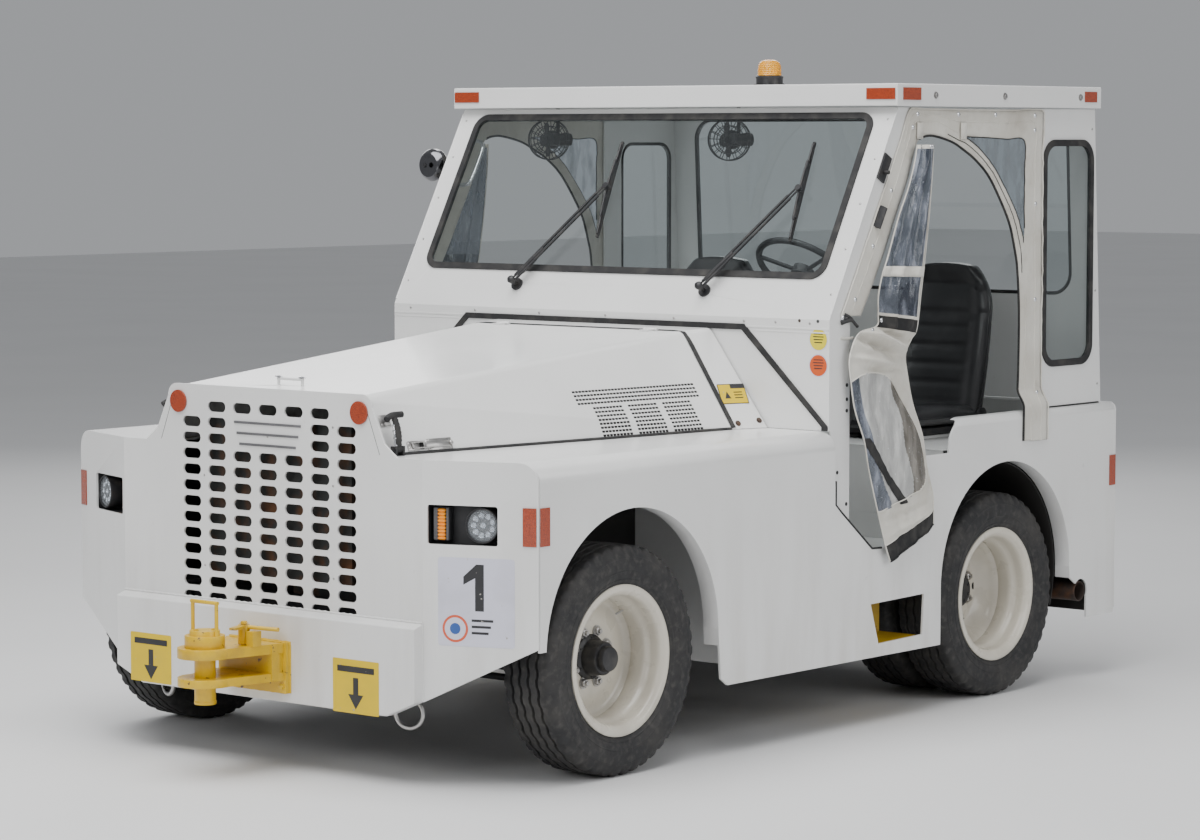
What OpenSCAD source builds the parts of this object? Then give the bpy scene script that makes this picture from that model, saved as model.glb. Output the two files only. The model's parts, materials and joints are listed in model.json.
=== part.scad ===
// Airport tow tractor: plate-steel body, soft-door cab, hitches at both ends.
// Millimetres. Origin on the ground below the front axle. The nose points to -Y,
// the driver's side is +X and +Z is up.

/* [Running gear] */
// Distance between the axles
wheelbase = 2240; // [2230:5:2250]
// Tyre outer diameter
tyre_d = 765; // [755:5:767]
// Distance from the centreline to the outer rim flange of a front wheel
front_track_x = 1035; // [1031:1:1036]
// Distance from the centreline to the outer rim flange of a rear wheel
rear_track_x = 1014; // [1010:1:1016]
// Overall width of a wheel rim
rim_w = 190; // [188:1:192]

/* [Body] */
// Overall width of the body
body_w = 2130; // [2126:2:2140]
// Thickness of the body plates
skin = 8; // [6:1:8]
// Height of the fender deck
deck_z = 1062; // [1060:1:1064]
// Height of the sill's lower edge
sill_z = 243; // [230:1:250]
// Radius of the front fender's shoulder
shoulder_r = 65; // [50:1:70]
// Place of the nose plate's front face
nose_y = -590; // [-592:1:-588]
// Place of the tail plate's rear face
tail_y = 2990; // [2985:1:2995]
// Half width of the flat nose and of the bumper
nose_x = 694; // [690:1:698]

/* [Cab] */
// Overall width of the cab
cab_w = 2070; // [2068:2:2072]
// Place of the cab's upright front face
cab_y = 1140; // [1139:1:1141]
// Height where the windscreen begins to lean back
fold_z = 1452; // [1448:1:1456]
// Place of the windscreen's upper edge
brow_y = 1550; // [1546:1:1554]
// Height of the walls' upper edge
eaves_z = 2196; // [2192:1:2198]
// Height of the roof's top
roof_z = 2280; // [2270:1:2290]

/* [Grille] */
// Columns of slots
slot_columns = 7; // [5:2:7]
// Rows of slots
slot_rows = 13; // [9:1:13]
// Sideways pitch of the slots
slot_pitch_x = 120; // [112:1:124]
// Upright pitch of the slots
slot_pitch_z = 53.8; // [48:0.1:56]

/* [Hitch] */
// Diameter of the hitch pin
pin_d = 70; // [60:1:72]
// Gap between the jaws
jaw_gap = 65; // [55:1:70]

/* [Controls] */
// Sideways place of the driver's seat and steering wheel
driver_x = 560; // [550:1:580]
// Diameter of the steering wheel
steering_d = 380; // [340:5:400]
// Lean of the steering column from upright
column_lean = 40; // [35:1:45]

/* [Hidden] */
$fn = 48;

gap = 0.5;
run = 0.05;                 // radial clearance of a running fit
axle_z = tyre_d / 2;
side_x = body_w / 2;
wall_x = cab_w / 2;
corner_y = nose_y + 137;    // where a swept nose panel meets the side
sweep_a = atan2(corner_y - nose_y, side_x - nose_x);
sweep_w = norm([corner_y - nose_y, side_x - nose_x]);
bumper_t = 42;
belt_z = deck_z + 4;        // the cab's rear walls stand on this line
tower_z = 1260;
tower_x = 445;
rake = atan2(brow_y - cab_y, eaves_z - fold_z);
lean = 3.14;                // the rear wall leans forward
back_y = 2924;
back_top_y = back_y - (eaves_z - belt_z) * tan(lean);
door_y = 1262;              // rear edge of the front door post
post_y = 2400;              // front edge of the rear door post

// Rails
rail_x = 400;
rail_w = 70;
rail_z = 470;
rail_h = 120;

// Floor and seat box
floor_z = 600;
box_y = 1858;
box_z = 950;

// Windows: [width, height, corner radius]
screen = [1880, 646, 50];
rear_pane = [1840, 690, 90];
side_pane = [330, 836, 70];
screen_mid = 491;           // centre of the windscreen up its slope

// Hood
hood_front_y = nose_y + skin + 1;
hood_rear_y = 994;
hood_z = deck_z + 1;
hood_hinge = [996, 1402];   // y and z of the hinge line
hood_knuckle_x = 350;

// Steering
kingpin_x = 775;
kingpin_r = 15;
boss_r = 35;
arm_l = 150;
spindle_r = 20;
rear_hub_x = 799;           // face where the twin rear wheels meet

// Hitch
pin_y = -885;
jaw_z = 305;
jaw_t = [27, 33];
jaw_top = jaw_z + jaw_t[0] + jaw_gap + jaw_t[1];
lever_at = [55, -760];      // x and y of the lock lever's pin
latch_at = [532, 1084];      // x and z of a hood latch's pin

// Wipers: the arms pivot on the windscreen panel, turned about its normal
wiper_x = 447;
wiper_s = 97;
wiper_l = 500;
wiper_a = 36;
blade_l = 404;
blade_a = -5;

// Steering wheel, and the cab fans: x, y, z and turn about Z
wheel_pos = [driver_x, 1630, 1600];
fan_places = [[205, 1640, 2080, -25], [-680, 1640, 2080, -25]];

cream = [0.92, 0.91, 0.88];
black = [0.07, 0.07, 0.08];
steel = [0.6, 0.6, 0.62];
yellow = [0.93, 0.76, 0.08];
amber = [0.95, 0.45, 0.08];

// ---- helpers ----

module rbox(a, b) { translate(a) cube(b - a); }
module right() { mirror([1, 0, 0]) children(); }
module both_sides() { children(); mirror([1, 0, 0]) children(); }
// A (y, z) outline drawn out from x0 to x1
module slab_x(x0, x1) { translate([x0, 0, 0]) rotate([90, 0, 90]) linear_extrude(x1 - x0) children(); }
// An (x, z) outline drawn out from y0 to y1
module slab_y(y0, y1) { translate([0, y1, 0]) rotate([90, 0, 0]) linear_extrude(y1 - y0) children(); }
module rod_x(r, x0, x1, y, z) { translate([x0, y, z]) rotate([0, 90, 0]) cylinder(r = r, h = x1 - x0); }
module rod_y(r, y0, y1, x, z) { translate([x, y0, z]) rotate([-90, 0, 0]) cylinder(r = r, h = y1 - y0); }
module rod_z(r, z0, z1, x, y) { translate([x, y, z0]) cylinder(r = r, h = z1 - z0); }
module rod(r, a, b) {
    d = b - a;
    translate(a) rotate([0, acos(d[2] / norm(d)), atan2(d[1], d[0])]) cylinder(r = r, h = norm(d));
}
// Rectangle with round corners, about its centre
module rrect(w, h, r) {
    square([w - 2 * r, h], center = true);
    square([w, h - 2 * r], center = true);
    for (x = [-1, 1], z = [-1, 1]) translate([x * (w / 2 - r), z * (h / 2 - r)]) circle(r);
}
module on_sweep() { translate([nose_x, nose_y, 0]) rotate([0, 0, sweep_a]) children(); }
module on_screen() { translate([0, cab_y, fold_z]) rotate([-rake, 0, 0]) children(); }
// Places of the four windows, each with its outer face towards local -Y
module at_screen() { on_screen() translate([0, 0, screen_mid]) children(); }
module at_rear_pane() {
    translate([0, back_y, belt_z]) rotate([lean, 0, 0]) translate([0, 0, 757]) rotate([0, 0, 180]) children();
}
module at_side_pane() { translate([wall_x, 2674, 1650]) rotate([0, 0, 90]) children(); }

module window_hole(p) { slab_y(-20, 30) rrect(p[0], p[1], p[2]); }
module window_seal(p) {
    difference() {
        union() {
            slab_y(-6, 0) rrect(p[0] + 24, p[1] + 24, p[2] + 12);
            slab_y(0, skin) rrect(p[0] - 1, p[1] - 1, p[2] - 0.5);
        }
        slab_y(-20, 30) rrect(p[0] - 26, p[1] - 26, p[2] - 13);
    }
}
module window_pane(p) { slab_y(1, 6) rrect(p[0] - 27, p[1] - 27, p[2] - 13.5); }

// ---- chassis ----

module frame_rails() color(steel) {
    both_sides() difference() {
        union() {
            rbox([rail_x, -575, rail_z], [rail_x + rail_w, 2975, rail_z + rail_h]);
            for (y = [-475, 445, wheelbase - 500, wheelbase + 470])
                rbox([rail_x + rail_w, y, y < 1000 ? 492 : 522], [545, y + 30, rail_z + rail_h]);
        }
        rbox([rail_x - 1, -560, rail_z + 10], [rail_x + rail_w - 10, 2960, rail_z + rail_h - 10]);
    }
    cross_x = rail_x + rail_w - 5;
    for (y = [-540, 1000, 1700, 2700, 2910]) rbox([-cross_x, y, 530], [cross_x, y + 40, 572]);
    both_sides() tie_down_ring();
}

module tie_down_ring() {
    translate([565, -515, 224]) rotate([90, 0, 20]) rotate_extrude() translate([48, 0]) circle(7);
    rod_z(5, 272, 476, 565, -515);
    rbox([470, -530, 474], [580, -500, 490]);
}

module grille_slots() {
    top_z = 1188;
    mid = (slot_columns - 1) / 2;
    for (c = [0 : slot_columns - 1], r = [0 : slot_rows - 1]) {
        wing = abs(c - mid) >= mid - 1;
        corner = abs(c - mid) == mid;
        if ((r == 0 && !corner) || (r > 0 && r < 3 && wing) || r > 2)
            translate([(c - mid) * slot_pitch_x, top_z - r * slot_pitch_z]) round_slot(85, 35);
    }
}
module round_slot(w, h) {
    square([w - h, h], center = true);
    for (s = [-1, 1]) translate([s * (w - h) / 2, 0]) circle(h / 2);
}

// Front view of the nose: swept ends with round shoulders, and the grille's tower between them
module nose_outline() {
    foot = 282;
    tower_r = 40;
    tower_c = tower_x - 12;
    half = [[nose_x, foot], [side_x, 470], [side_x, deck_z - shoulder_r], [side_x - shoulder_r, deck_z - shoulder_r],
            [side_x - shoulder_r, deck_z], [583, deck_z], [527, 1104], [tower_x + 22, 1232],
            [tower_c, tower_z - tower_r], [tower_c, tower_z]];
    last = len(half) - 1;
    union() {
        polygon([for (p = half) p, for (i = [0 : last]) [-half[last - i][0], half[last - i][1]]]);
        for (s = [-1, 1]) {
            translate([s * tower_c, tower_z - tower_r]) circle(tower_r);
            translate([s * (side_x - shoulder_r), deck_z - shoulder_r]) circle(shoulder_r);
        }
    }
}

// The nose plate carries the grille; its swept ends carry the lamps.
module front_shield() color(cream) {
    inner_x = nose_x - skin * tan(sweep_a / 2);
    end = [side_x - skin * sin(sweep_a), corner_y + skin * cos(sweep_a)];
    difference() {
        intersection() {
            linear_extrude(tower_z + 1)
                polygon([[-side_x, corner_y], [-nose_x, nose_y], [nose_x, nose_y], [side_x, corner_y], end,
                         [inner_x, nose_y + skin], [-inner_x, nose_y + skin], [-end[0], end[1]]]);
            slab_y(nose_y - 10, corner_y + 20) nose_outline();
        }
        slab_y(nose_y - 10, nose_y + skin + 10) grille_slots();
        both_sides() on_sweep() slab_y(-10, skin + 10) translate([137, 857]) rrect(240, 126, 8);
    }
}

module bumper() color(cream) {
    intersection() {
        slab_x(-nose_x, nose_x)
            polygon([[nose_y, 200], [nose_y - bumper_t, 200], [nose_y - bumper_t, 522], [nose_y, 536]]);
        slab_y(nose_y - 60, nose_y)
            polygon([[-nose_x, 282], [-569, 229], [569, 229], [nose_x, 282], [nose_x, 540], [-nose_x, 540]]);
    }
}

// Upright wall, rounded shoulder and deck, as an (x, z) outline
module shell_section(r, top, x_in) {
    translate([side_x - skin, 200]) square([skin, top - r - 200]);
    intersection() {
        translate([side_x - r, top - r]) difference() { circle(r); circle(r - skin); }
        translate([side_x - r, top - r]) square(r + 1);
    }
    translate([x_in, top - skin]) square([side_x - r - x_in, skin]);
}

module front_arch() {
    translate([30, 440]) circle(445, $fn = 96);
    polygon([[-700, 0], [-700, 458], [-411, 458], [-411, 440], [475, 440],
             [488, 268], [525, sill_z], [525, 0]]);
}

module rear_arch() {
    translate([2230, 450]) circle(435, $fn = 96);
    polygon([[1795, 450], [1792, 0], [2787, 0], [2787, 330], [2665, 408], [2665, 450]]);
    translate([2744, 347]) circle(48);
}

module door_notch() {
    difference() {
        polygon([[cab_y - 2, 1300], [cab_y - 2, 894], [1143, 804], [1365, 632], [1650, 632],
                 [1650, 942], [1842, 942], [1842, 956], [1952, 956], [1952, 1300]]);
        translate([1952, deck_z + 3 - 110]) circle(110);
    }
}

module side_panel() {
    front_y = corner_y + skin + gap;
    difference() {
        union() {
            slab_y(nose_y, cab_y - 2) shell_section(shoulder_r, deck_z, 470);
            slab_y(cab_y - 2, tail_y - skin - gap) shell_section(30, deck_z + 3, side_x - 45);
            slab_x(side_x - 65, side_x - 1) intersection() {
                translate([30, 440]) difference() { circle(453, $fn = 96); circle(440, $fn = 96); }
                translate([-411, 300]) square([900, 600]);
            }
            slab_x(side_x - 65, side_x - 1) intersection() {
                translate([2230, 450]) difference() { circle(443, $fn = 96); circle(430, $fn = 96); }
                translate([1700, 300]) square([990, 600]);
            }
        }
        slab_x(side_x - 70, side_x + 10) front_arch();
        slab_x(side_x - 70, side_x + 10) rear_arch();
        slab_x(side_x - 120, side_x + 10) door_notch();
        slab_x(side_x - 120, side_x + 10) square([2 * tail_y, sill_z]);
        slab_x(side_x - 70, side_x + 10) polygon([[1404, 289], [1678, 294], [1687, 441], [1356, 435]]);
        // the deck stops behind the swept nose and at the hood's edge
        translate([0, 0, 150]) linear_extrude(1000) {
            polygon([[0, nose_y - 9], [side_x + 30, nose_y - 9], [side_x + 30, front_y],
                     [side_x - 1, front_y], [nose_x - 2, nose_y + skin + gap],
                     [0, nose_y + skin + gap]]);
            polygon([[0, -600], [488, -600], [605, 381], [696, 990], [740, cab_y], [0, cab_y]]);
        }
    }
}
module side_panel_left() { color(cream) side_panel(); }
module side_panel_right() { color(cream) right() side_panel(); }

module rear_panel() color(cream) {
    slab_y(tail_y - skin, tail_y) union() {
        translate([-side_x, 262]) square([body_w, deck_z - 27 - 262]);
        translate([-side_x + 30, deck_z - 60]) square([body_w - 60, 63]);
        for (s = [-1, 1]) translate([s * (side_x - 30), deck_z - 27]) circle(30);
    }
    rbox([-side_x + 47, 2905, deck_z - 5], [side_x - 47, tail_y - 7, deck_z + 3]);
}

// Floor, bulkheads and wheel houses: flat plates that stop a gap short of each other
module inner_structure() color(cream) {
    liner_x = side_x - 67;
    box_x = wall_x - 9;
    panel_x = side_x - 9;
    // foot floor, firewall, and the seat box with its seat slide rails
    rbox([-panel_x, cab_y + skin + 1, floor_z], [panel_x, box_y - 47, floor_z + 6]);
    rbox([-liner_x, box_y - 47 + gap, floor_z], [liner_x, box_y + 6, floor_z + 6]);
    rbox([-1020, cab_y, floor_z + 7], [1020, cab_y + skin, deck_z - 10]);
    rbox([-liner_x, box_y, floor_z + 6 + gap], [liner_x, box_y + 6, 700 - gap]);
    rbox([-box_x, box_y, 700], [box_x, box_y + 6, box_z - 6 - gap]);
    rbox([-box_x, box_y, box_z - 6], [box_x, 2980, box_z]);
    both_sides() for (s = [-150, 135])
        rbox([driver_x + s, 2080, box_z + gap], [driver_x + s + 15, 2560, box_z + 12]);
    // tail wall
    rbox([-rail_x - rail_w, 2790, 268], [rail_x + rail_w, 2796, rail_z - 1]);
    both_sides() {
        rbox([rail_x + rail_w + 1, 2790, 268], [panel_x, 2796, box_z - 6 - gap]);
        // front wheel house
        rbox([596, -560, floor_z - 60], [600, 600, deck_z - 9]);
        rbox([600 + gap, 596, 300], [panel_x, 600, deck_z - shoulder_r - 1]);
        rbox([600 + gap, 596, deck_z - shoulder_r - 1 + gap], [side_x - shoulder_r - 1, 600, deck_z - 9]);
        // rear wheel house
        intersection() {
            slab_x(560 + gap, liner_x) translate([2230, 450]) difference() {
                circle(432, $fn = 96);
                circle(428, $fn = 96);
            }
            rbox([500, box_y + 7, 300], [1100, 2780, 900]);
        }
        rbox([556, box_y + 7, floor_z], [560, 2780, box_z - 7]);
    }
}

// Outline of the hood or cowl: half widths at the foot and the crease, and the top
module hood_slice(y, t, foot, crease, top, r) {
    translate([0, y, 0]) {
        for (s = [-1, 1]) translate([s * (crease - r), 0, top - r]) rotate([-90, 0, 0]) cylinder(r = r, h = t, $fn = 32);
        for (s = [-1, 1]) translate([s * foot - 1, 0, hood_z]) cube([2, t, 2]);
    }
}

module cowl_bridge() color(cream) {
    difference() {
        hull() {
            hood_slice(998, 1, 716, 510, 1400, 35);
            hood_slice(cab_y - 8, 1, 768, 530, 1408, 35);
        }
        translate([0, 0, -8]) hull() {
            hood_slice(980, 1, 706, 503, 1400, 30);
            hood_slice(cab_y, 1, 758, 522, 1408, 30);
        }
        for (s = [-1, 1]) rbox([s * hood_knuckle_x - 20.5, 990, 1385], [s * hood_knuckle_x + 20.5, 1005, 1420]);
    }
    for (s = [-1, 1], k = [-30, 21])
        translate([s * hood_knuckle_x + k, 0, 0]) hinge_leaf(9, 1);
    for (s = [-1, 1]) rod_x(4, s * hood_knuckle_x - 21, s * hood_knuckle_x + 21, hood_hinge[0], hood_hinge[1]);
}

// One knuckle of the hood hinge; dir is 1 towards the cowl and -1 towards the hood
module hinge_leaf(w, dir) {
    rod_x(8, 0, w, hood_hinge[0], hood_hinge[1]);
    rbox([0, dir > 0 ? hood_hinge[0] : hood_hinge[0] - 40, 1396],
         [w, dir > 0 ? hood_hinge[0] + 40 : hood_hinge[0], 1404]);
}

module hood() color(cream) {
    difference() {
        union() {
            difference() {
                hull() {
                    hood_slice(hood_front_y, 1, 508, tower_x, 1255, 35);
                    hood_slice(hood_rear_y - 1, 1, 716, 510, 1400, 35);
                }
                translate([0, 0, -6]) hull() {
                    hood_slice(hood_front_y - 20, 1, 498, tower_x - 6, 1254, 30);
                    hood_slice(hood_rear_y + 20, 1, 708, 504, 1402, 30);
                }
                for (s = [-1, 1]) rbox([s * hood_knuckle_x - 33, hood_rear_y - 16, 1380],
                                       [s * hood_knuckle_x + 33, hood_rear_y + 6, 1420]);
            }
            for (s = [-1, 1]) translate([s * hood_knuckle_x - 20, 0, 0]) hinge_leaf(40, -1);
            // grab handle at the front
            for (s = [-55, 55]) rod_z(5, 1240, 1286, s, -480);
            rod_x(5, -60, 60, -480, 1286);
        }
        for (s = [-1, 1]) rod_x(4 + run, s * hood_knuckle_x - 30, s * hood_knuckle_x + 30,
                                hood_hinge[0], hood_hinge[1]);
    }
}

// Rubber draw latch: it turns on a pin in its bracket, its T handle lies over the hood's side
module hood_latch() color(black) {
    difference() {
        union() {
            rod_y(9, -542, -518, latch_at[0], latch_at[1]);
            slab_y(-540, -520) translate(latch_at) polygon([[-8, 0], [8, 0], [-12, 106], [-26, 106]]);
            rod_y(10, -565, -495, latch_at[0] - 17, latch_at[1] + 108);
        }
        rod_y(4 + run, -600, -480, latch_at[0], latch_at[1]);
    }
}
module hood_latch_left() { hood_latch(); }
module hood_latch_right() { right() hood_latch(); }

// ---- cab ----

module cab_front() color(cream) {
    difference() {
        union() {
            slab_x(-wall_x, wall_x)
                polygon([[cab_y, deck_z + 1], [cab_y + skin, deck_z + 1], [cab_y + skin, fold_z - 2],
                         [brow_y + skin / cos(rake), eaves_z], [brow_y, eaves_z], [cab_y, fold_z]]);
            both_sides() slab_x(wall_x - skin, wall_x)
                polygon([[cab_y + skin - 1, deck_z + 1], [cab_y + skin + 1, deck_z], [cab_y + skin + 1, floor_z + 7],
                         [door_y, floor_z + 7], [door_y, fold_z], [door_y + 410, eaves_z],
                         [brow_y + skin, eaves_z], [cab_y + skin - 1, fold_z - 2]]);
        }
        at_screen() window_hole(screen);
        for (s = [-1, 1]) on_screen() translate([s * wiper_x, -1, wiper_s]) rotate([-90, 0, 0]) cylinder(r = 9, h = 12);
    }
}

module cab_rear() color(cream) {
    difference() {
        union() {
            both_sides() slab_x(wall_x - skin, wall_x)
                polygon([[post_y, belt_z], [back_y, belt_z], [back_top_y, eaves_z], [post_y, eaves_z]]);
            slab_x(-wall_x, wall_x)
                polygon([[back_y - skin, belt_z], [back_y, belt_z], [back_top_y, eaves_z], [back_top_y - skin, eaves_z]]);
        }
        at_rear_pane() window_hole(rear_pane);
        both_sides() at_side_pane() window_hole(side_pane);
    }
}

module roof() color(cream) {
    front = 1510;
    rear = 2870;
    half = wall_x + 23;
    difference() {
        rbox([-half, front, eaves_z + 4], [half, rear, roof_z]);
        rbox([-half + 6, front + 6, eaves_z - 1], [half - 6, rear - 6, roof_z - 6]);
    }
    // headliner, a separate sheet inside the skirt
    rbox([-half + 7, front + 7, eaves_z + 4], [half - 7, rear - 7, eaves_z + 8]);
}

module cab_glass() color([0.6, 0.7, 0.72, 0.4]) {
    at_screen() window_pane(screen);
    at_rear_pane() window_pane(rear_pane);
    both_sides() at_side_pane() window_pane(side_pane);
}

module window_seals() color(black) {
    at_screen() window_seal(screen);
    at_rear_pane() window_seal(rear_pane);
    both_sides() at_side_pane() window_seal(side_pane);
    // weather strip round the cowl, on the cab's front face
    slab_y(cab_y - 6, cab_y) difference() {
        polygon([[-1030, 1064], [-1030, 1020 + 60], [-662, 1428], [662, 1428], [1030, 1080], [1030, 1064]]);
        polygon([[-1006, 1060], [-1006, 1077], [-652, 1407], [652, 1407], [1006, 1077], [1006, 1060]]);
    }
}

module dashboard() color([0.2, 0.2, 0.21]) {
    difference() {
        union() {
            slab_x(-950, 950) polygon([[1150, 1060], [1380, 1060], [1420, 1130], [1400, 1330], [1330, 1362], [1150, 1362]]);
            translate(wheel_pos) rotate([-column_lean, 0, 0]) translate([0, 0, -400]) cylinder(r = 28, h = 350);
        }
        translate(wheel_pos) rotate([-column_lean, 0, 0]) translate([0, 0, -140]) cylinder(r = 12 + run, h = 120);
    }
    // pedal bracket on the firewall, with the pedals' pins
    for (x = [driver_x - 70, driver_x + 90]) {
        rbox([x - 22, cab_y + skin + 1, 960], [x - 13, 1262, 1000]);
        rod_x(6, x - 14, x + 14, 1250, 980);
    }
    // gear lever bracket on the floor
    rbox([195, 1520, floor_z + 6], [245, 1580, floor_z + 16]);
    rbox([198, 1540, floor_z + 16], [208, 1560, 656]);
    rod_x(6, 207, 234, 1550, 646);
}

module powertrain() color(steel) {
    rbox([-210, -260, 500], [210, 420, 900]);
    rbox([-150, -230, 900], [150, 380, 985]);
    rbox([-140, -160, 430], [140, 300, 500]);
    rod_y(170, -300, -260, 0, 640);
    rod_y(120, 420, 900, 0, 610);
    // radiator and fan shroud
    rbox([-340, -545, 620], [340, -480, 1150]);
    difference() {
        rbox([-300, -479, 640], [300, -440, 1120]);
        rod_y(225, -500, -400, 0, 870);
    }
    rod_y(35, -470, -420, 0, 870);
    slab_y(-454, -446) for (a = [0, 60, 120]) translate([0, 870]) rotate(a) square([420, 60], center = true);
    rod(28, [0, 905, 500], [0, 2093, 385]);
}

module under_floor_tanks() color(steel) {
    rbox([-820, 1200, 310], [-500, 1690, 592]);
    rod_z(35, 592, 598, -700, 1300);
    rbox([500, 1200, 310], [820, 1690, 540]);
    rbox([520, 1220, 540], [650, 1670, 590]);
    rbox([665, 1220, 540], [800, 1670, 590]);
}

// ---- axles, steering and wheels ----

// Leaf spring swept up at its ends, seated at height z0
module leaf_spring(y0, z0, half, rise) {
    r = (half * half + rise * rise) / (2 * rise);
    slab_x(482, 540) translate([y0, z0 + r]) for (i = [0 : 2]) intersection() {
        difference() {
            circle(r - i * 8, $fn = 360);
            circle(r - i * 8 - 8, $fn = 360);
        }
        translate([-half * (0.5 + 0.25 * i), -r - 1]) square([half * (1 + 0.5 * i), rise + 40]);
    }
}

module front_axle() color(black) {
    difference() {
        union() {
            rbox([-kingpin_x, -35, 310], [kingpin_x, 35, 386]);
            both_sides() rod_z(boss_r, 300, 460, kingpin_x, 0);
        }
        both_sides() rod_z(kingpin_r + run, 290, 470, kingpin_x, 0);
        both_sides() for (y = [-60, 20]) rbox([-1, y, 322], [720, y + 40, 374]);
    }
    both_sides() leaf_spring(0, 386.5, 450, 55);
}

module rear_axle() color(black) {
    translate([0, wheelbase, axle_z]) {
        rod_x(45, -600, 600, 0, 0);
        both_sides() {
            rod_x(34, 590, 790, 0, 0);
            rod_x(145, 556, 566, 0, 0);
            rbox([478, -45, 30], [544, 45, 48.5]);
        }
        rod_y(138, -88, 88, 0, 0);
        rod_y(60, -138, -80, 0, 0);
    }
    both_sides() leaf_spring(wheelbase, axle_z + 49, 480, 55);
}

module knuckle() {
    for (z = [[266, 298], [462, 494]]) {
        rod_z(boss_r, z[0], z[1], kingpin_x, 0);
        rbox([kingpin_x, -boss_r, z[0]], [kingpin_x + 60, boss_r, z[1]]);
    }
    rbox([813, -42, 266], [835, 42, 494]);
    rbox([755, 20, 268], [795, arm_l + 18, 290]);
    rod_z(kingpin_r, 270, 490, kingpin_x, 0);
    rod_x(spindle_r, 830, 930, 0, axle_z);
}
module knuckle_left() { color(black) knuckle(); }
module knuckle_right() { color(black) right() knuckle(); }

module tie_rod() color(black) {
    rod_x(12, -kingpin_x, kingpin_x, arm_l, 249);
    both_sides() rod_z(18, 236, 263, kingpin_x, arm_l);
}

// Wheel parts are drawn about local Z, which points out of the vehicle
module at_wheel(x, y) { translate([x, y, axle_z]) rotate([0, 90, 0]) children(); }

module tyre_section() {
    r = tyre_d / 2;
    polygon([[224, -78], [231, -84], [252, -86], [268, -99], [r - 78, -107.5], [r - 36, -104], [r - 10, -93],
             [r, -78], [r, 78], [r - 10, 93], [r - 36, 104], [r - 78, 107.5], [268, 99], [252, 86], [231, 84],
             [224, 78], [224, 66], [240, 66], [262, 82], [r - 78, 94], [r - 40, 90], [r - 20, 74],
             [r - 17, 0], [r - 20, -74], [r - 40, -90], [r - 78, -94], [262, -82], [240, -66], [224, -66]]);
}
module tyre() { rotate_extrude($fn = 96) tyre_section(); }

// Rim barrel with its two flanges
module barrel() {
    h = rim_w / 2;
    rotate_extrude($fn = 96)
        polygon([[250, -h], [250, -h + 7], [230, -h + 9], [222, -h + 15], [222, -40], [206, -30], [206, 20],
                 [222, 40], [222, h - 15], [230, h - 9], [250, h - 7], [250, h], [232, h], [214, h - 12],
                 [212, 36], [198, 24], [198, -30], [212, -44], [214, -h + 12], [232, -h]]);
}

module stud_ring(r, n, r_hole, a0, a1) {
    for (i = [0 : n - 1]) rotate([0, 0, (i + 0.5) * 360 / n]) translate([r, 0, a0]) cylinder(r = r_hole, h = a1 - a0);
}

module front_wheel() {
    disc = 896 - (front_track_x - rim_w / 2);
    difference() {
        union() {
            barrel();
            translate([0, 0, disc - 12]) cylinder(r = 216, h = 12, $fn = 96);
        }
        translate([0, 0, disc - 20]) cylinder(r = 75.5, h = 40);
        stud_ring(90, 8, 9, disc - 20, disc + 10);
    }
    // hub with its studs and nuts
    difference() {
        union() {
            translate([0, 0, disc - 12.2 - 12]) cylinder(r = 110, h = 12);
            translate([0, 0, -82]) cylinder(r = 72, h = disc + 82 + 14);
            translate([0, 0, disc + 13]) cylinder(r = 54, h = 81);
            stud_ring(90, 8, 8, disc - 14, disc + 22);
            for (i = [0 : 7]) rotate([0, 0, (i + 0.5) * 45])
                translate([90, 0, disc + 0.2]) cylinder(r = 14, h = 15, $fn = 6);
        }
        translate([0, 0, -90]) cylinder(r = spindle_r + run, h = 84);
    }
}

module tyre_front_left() { color([0.1, 0.1, 0.1]) at_wheel(front_track_x - rim_w / 2, 0) tyre(); }
module tyre_front_right() { right() tyre_front_left(); }
module wheel_front_left() { color(cream) at_wheel(front_track_x - rim_w / 2, 0) front_wheel(); }
module wheel_front_right() { right() wheel_front_left(); }

module rear_pair() {
    x = rear_track_x - rim_w / 2;
    at_wheel(x, wheelbase) children();
    at_wheel(2 * rear_hub_x - x, wheelbase) mirror([0, 0, 1]) children();
}

// One of the twin rear wheels: its dished disc reaches the face shared with its twin
module rear_wheel() {
    deep = rear_hub_x - (rear_track_x - rim_w / 2);
    difference() {
        union() {
            barrel();
            rotate_extrude($fn = 96) polygon([[203, -22], [208, -42], [150, deep + 0.2], [70, deep + 0.2],
                                              [70, deep + 12], [145, deep + 12], [190, -22]]);
        }
        stud_ring(110, 8, 9, deep - 10, deep + 20);
        for (a = [0 : 60 : 300]) rotate([0, 0, a]) translate([165, 0, deep - 5]) cylinder(r = 14, h = 120);
    }
}

module rear_hub() {
    difference() {
        union() {
            translate([0, 0, -155]) cylinder(r = 66, h = 210);
            translate([0, 0, -25]) cylinder(r = 130, h = 12.5);
            stud_ring(110, 8, 8, -20, 28);
            for (i = [0 : 7]) rotate([0, 0, (i + 0.5) * 45])
                translate([110, 0, 12.5]) cylinder(r = 14, h = 14, $fn = 6);
        }
        translate([0, 0, -160]) cylinder(r = 34 + run, h = 160);
    }
}

module tyres_rear_left() { color([0.1, 0.1, 0.1]) rear_pair() tyre(); }
module tyres_rear_right() { right() tyres_rear_left(); }
module wheels_rear_left() {
    color(cream) {
        rear_pair() rear_wheel();
        at_wheel(rear_hub_x, wheelbase) rear_hub();
    }
}
module wheels_rear_right() { right() wheels_rear_left(); }

// ---- lamps and trim ----

module lamp_pods() color(black) {
    both_sides() on_sweep() difference() {
        rbox([12, skin + gap, 789], [262, 72, 925]);
        rbox([15, 0, 792], [259, 69, 922]);
    }
}

module lamp_lenses() color([0.9, 0.9, 0.95]) {
    both_sides() on_sweep() {
        rod_y(56, 24, 68, 200, 857);
        rbox([28, 30, 800], [78, 68, 914]);
    }
}

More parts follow.
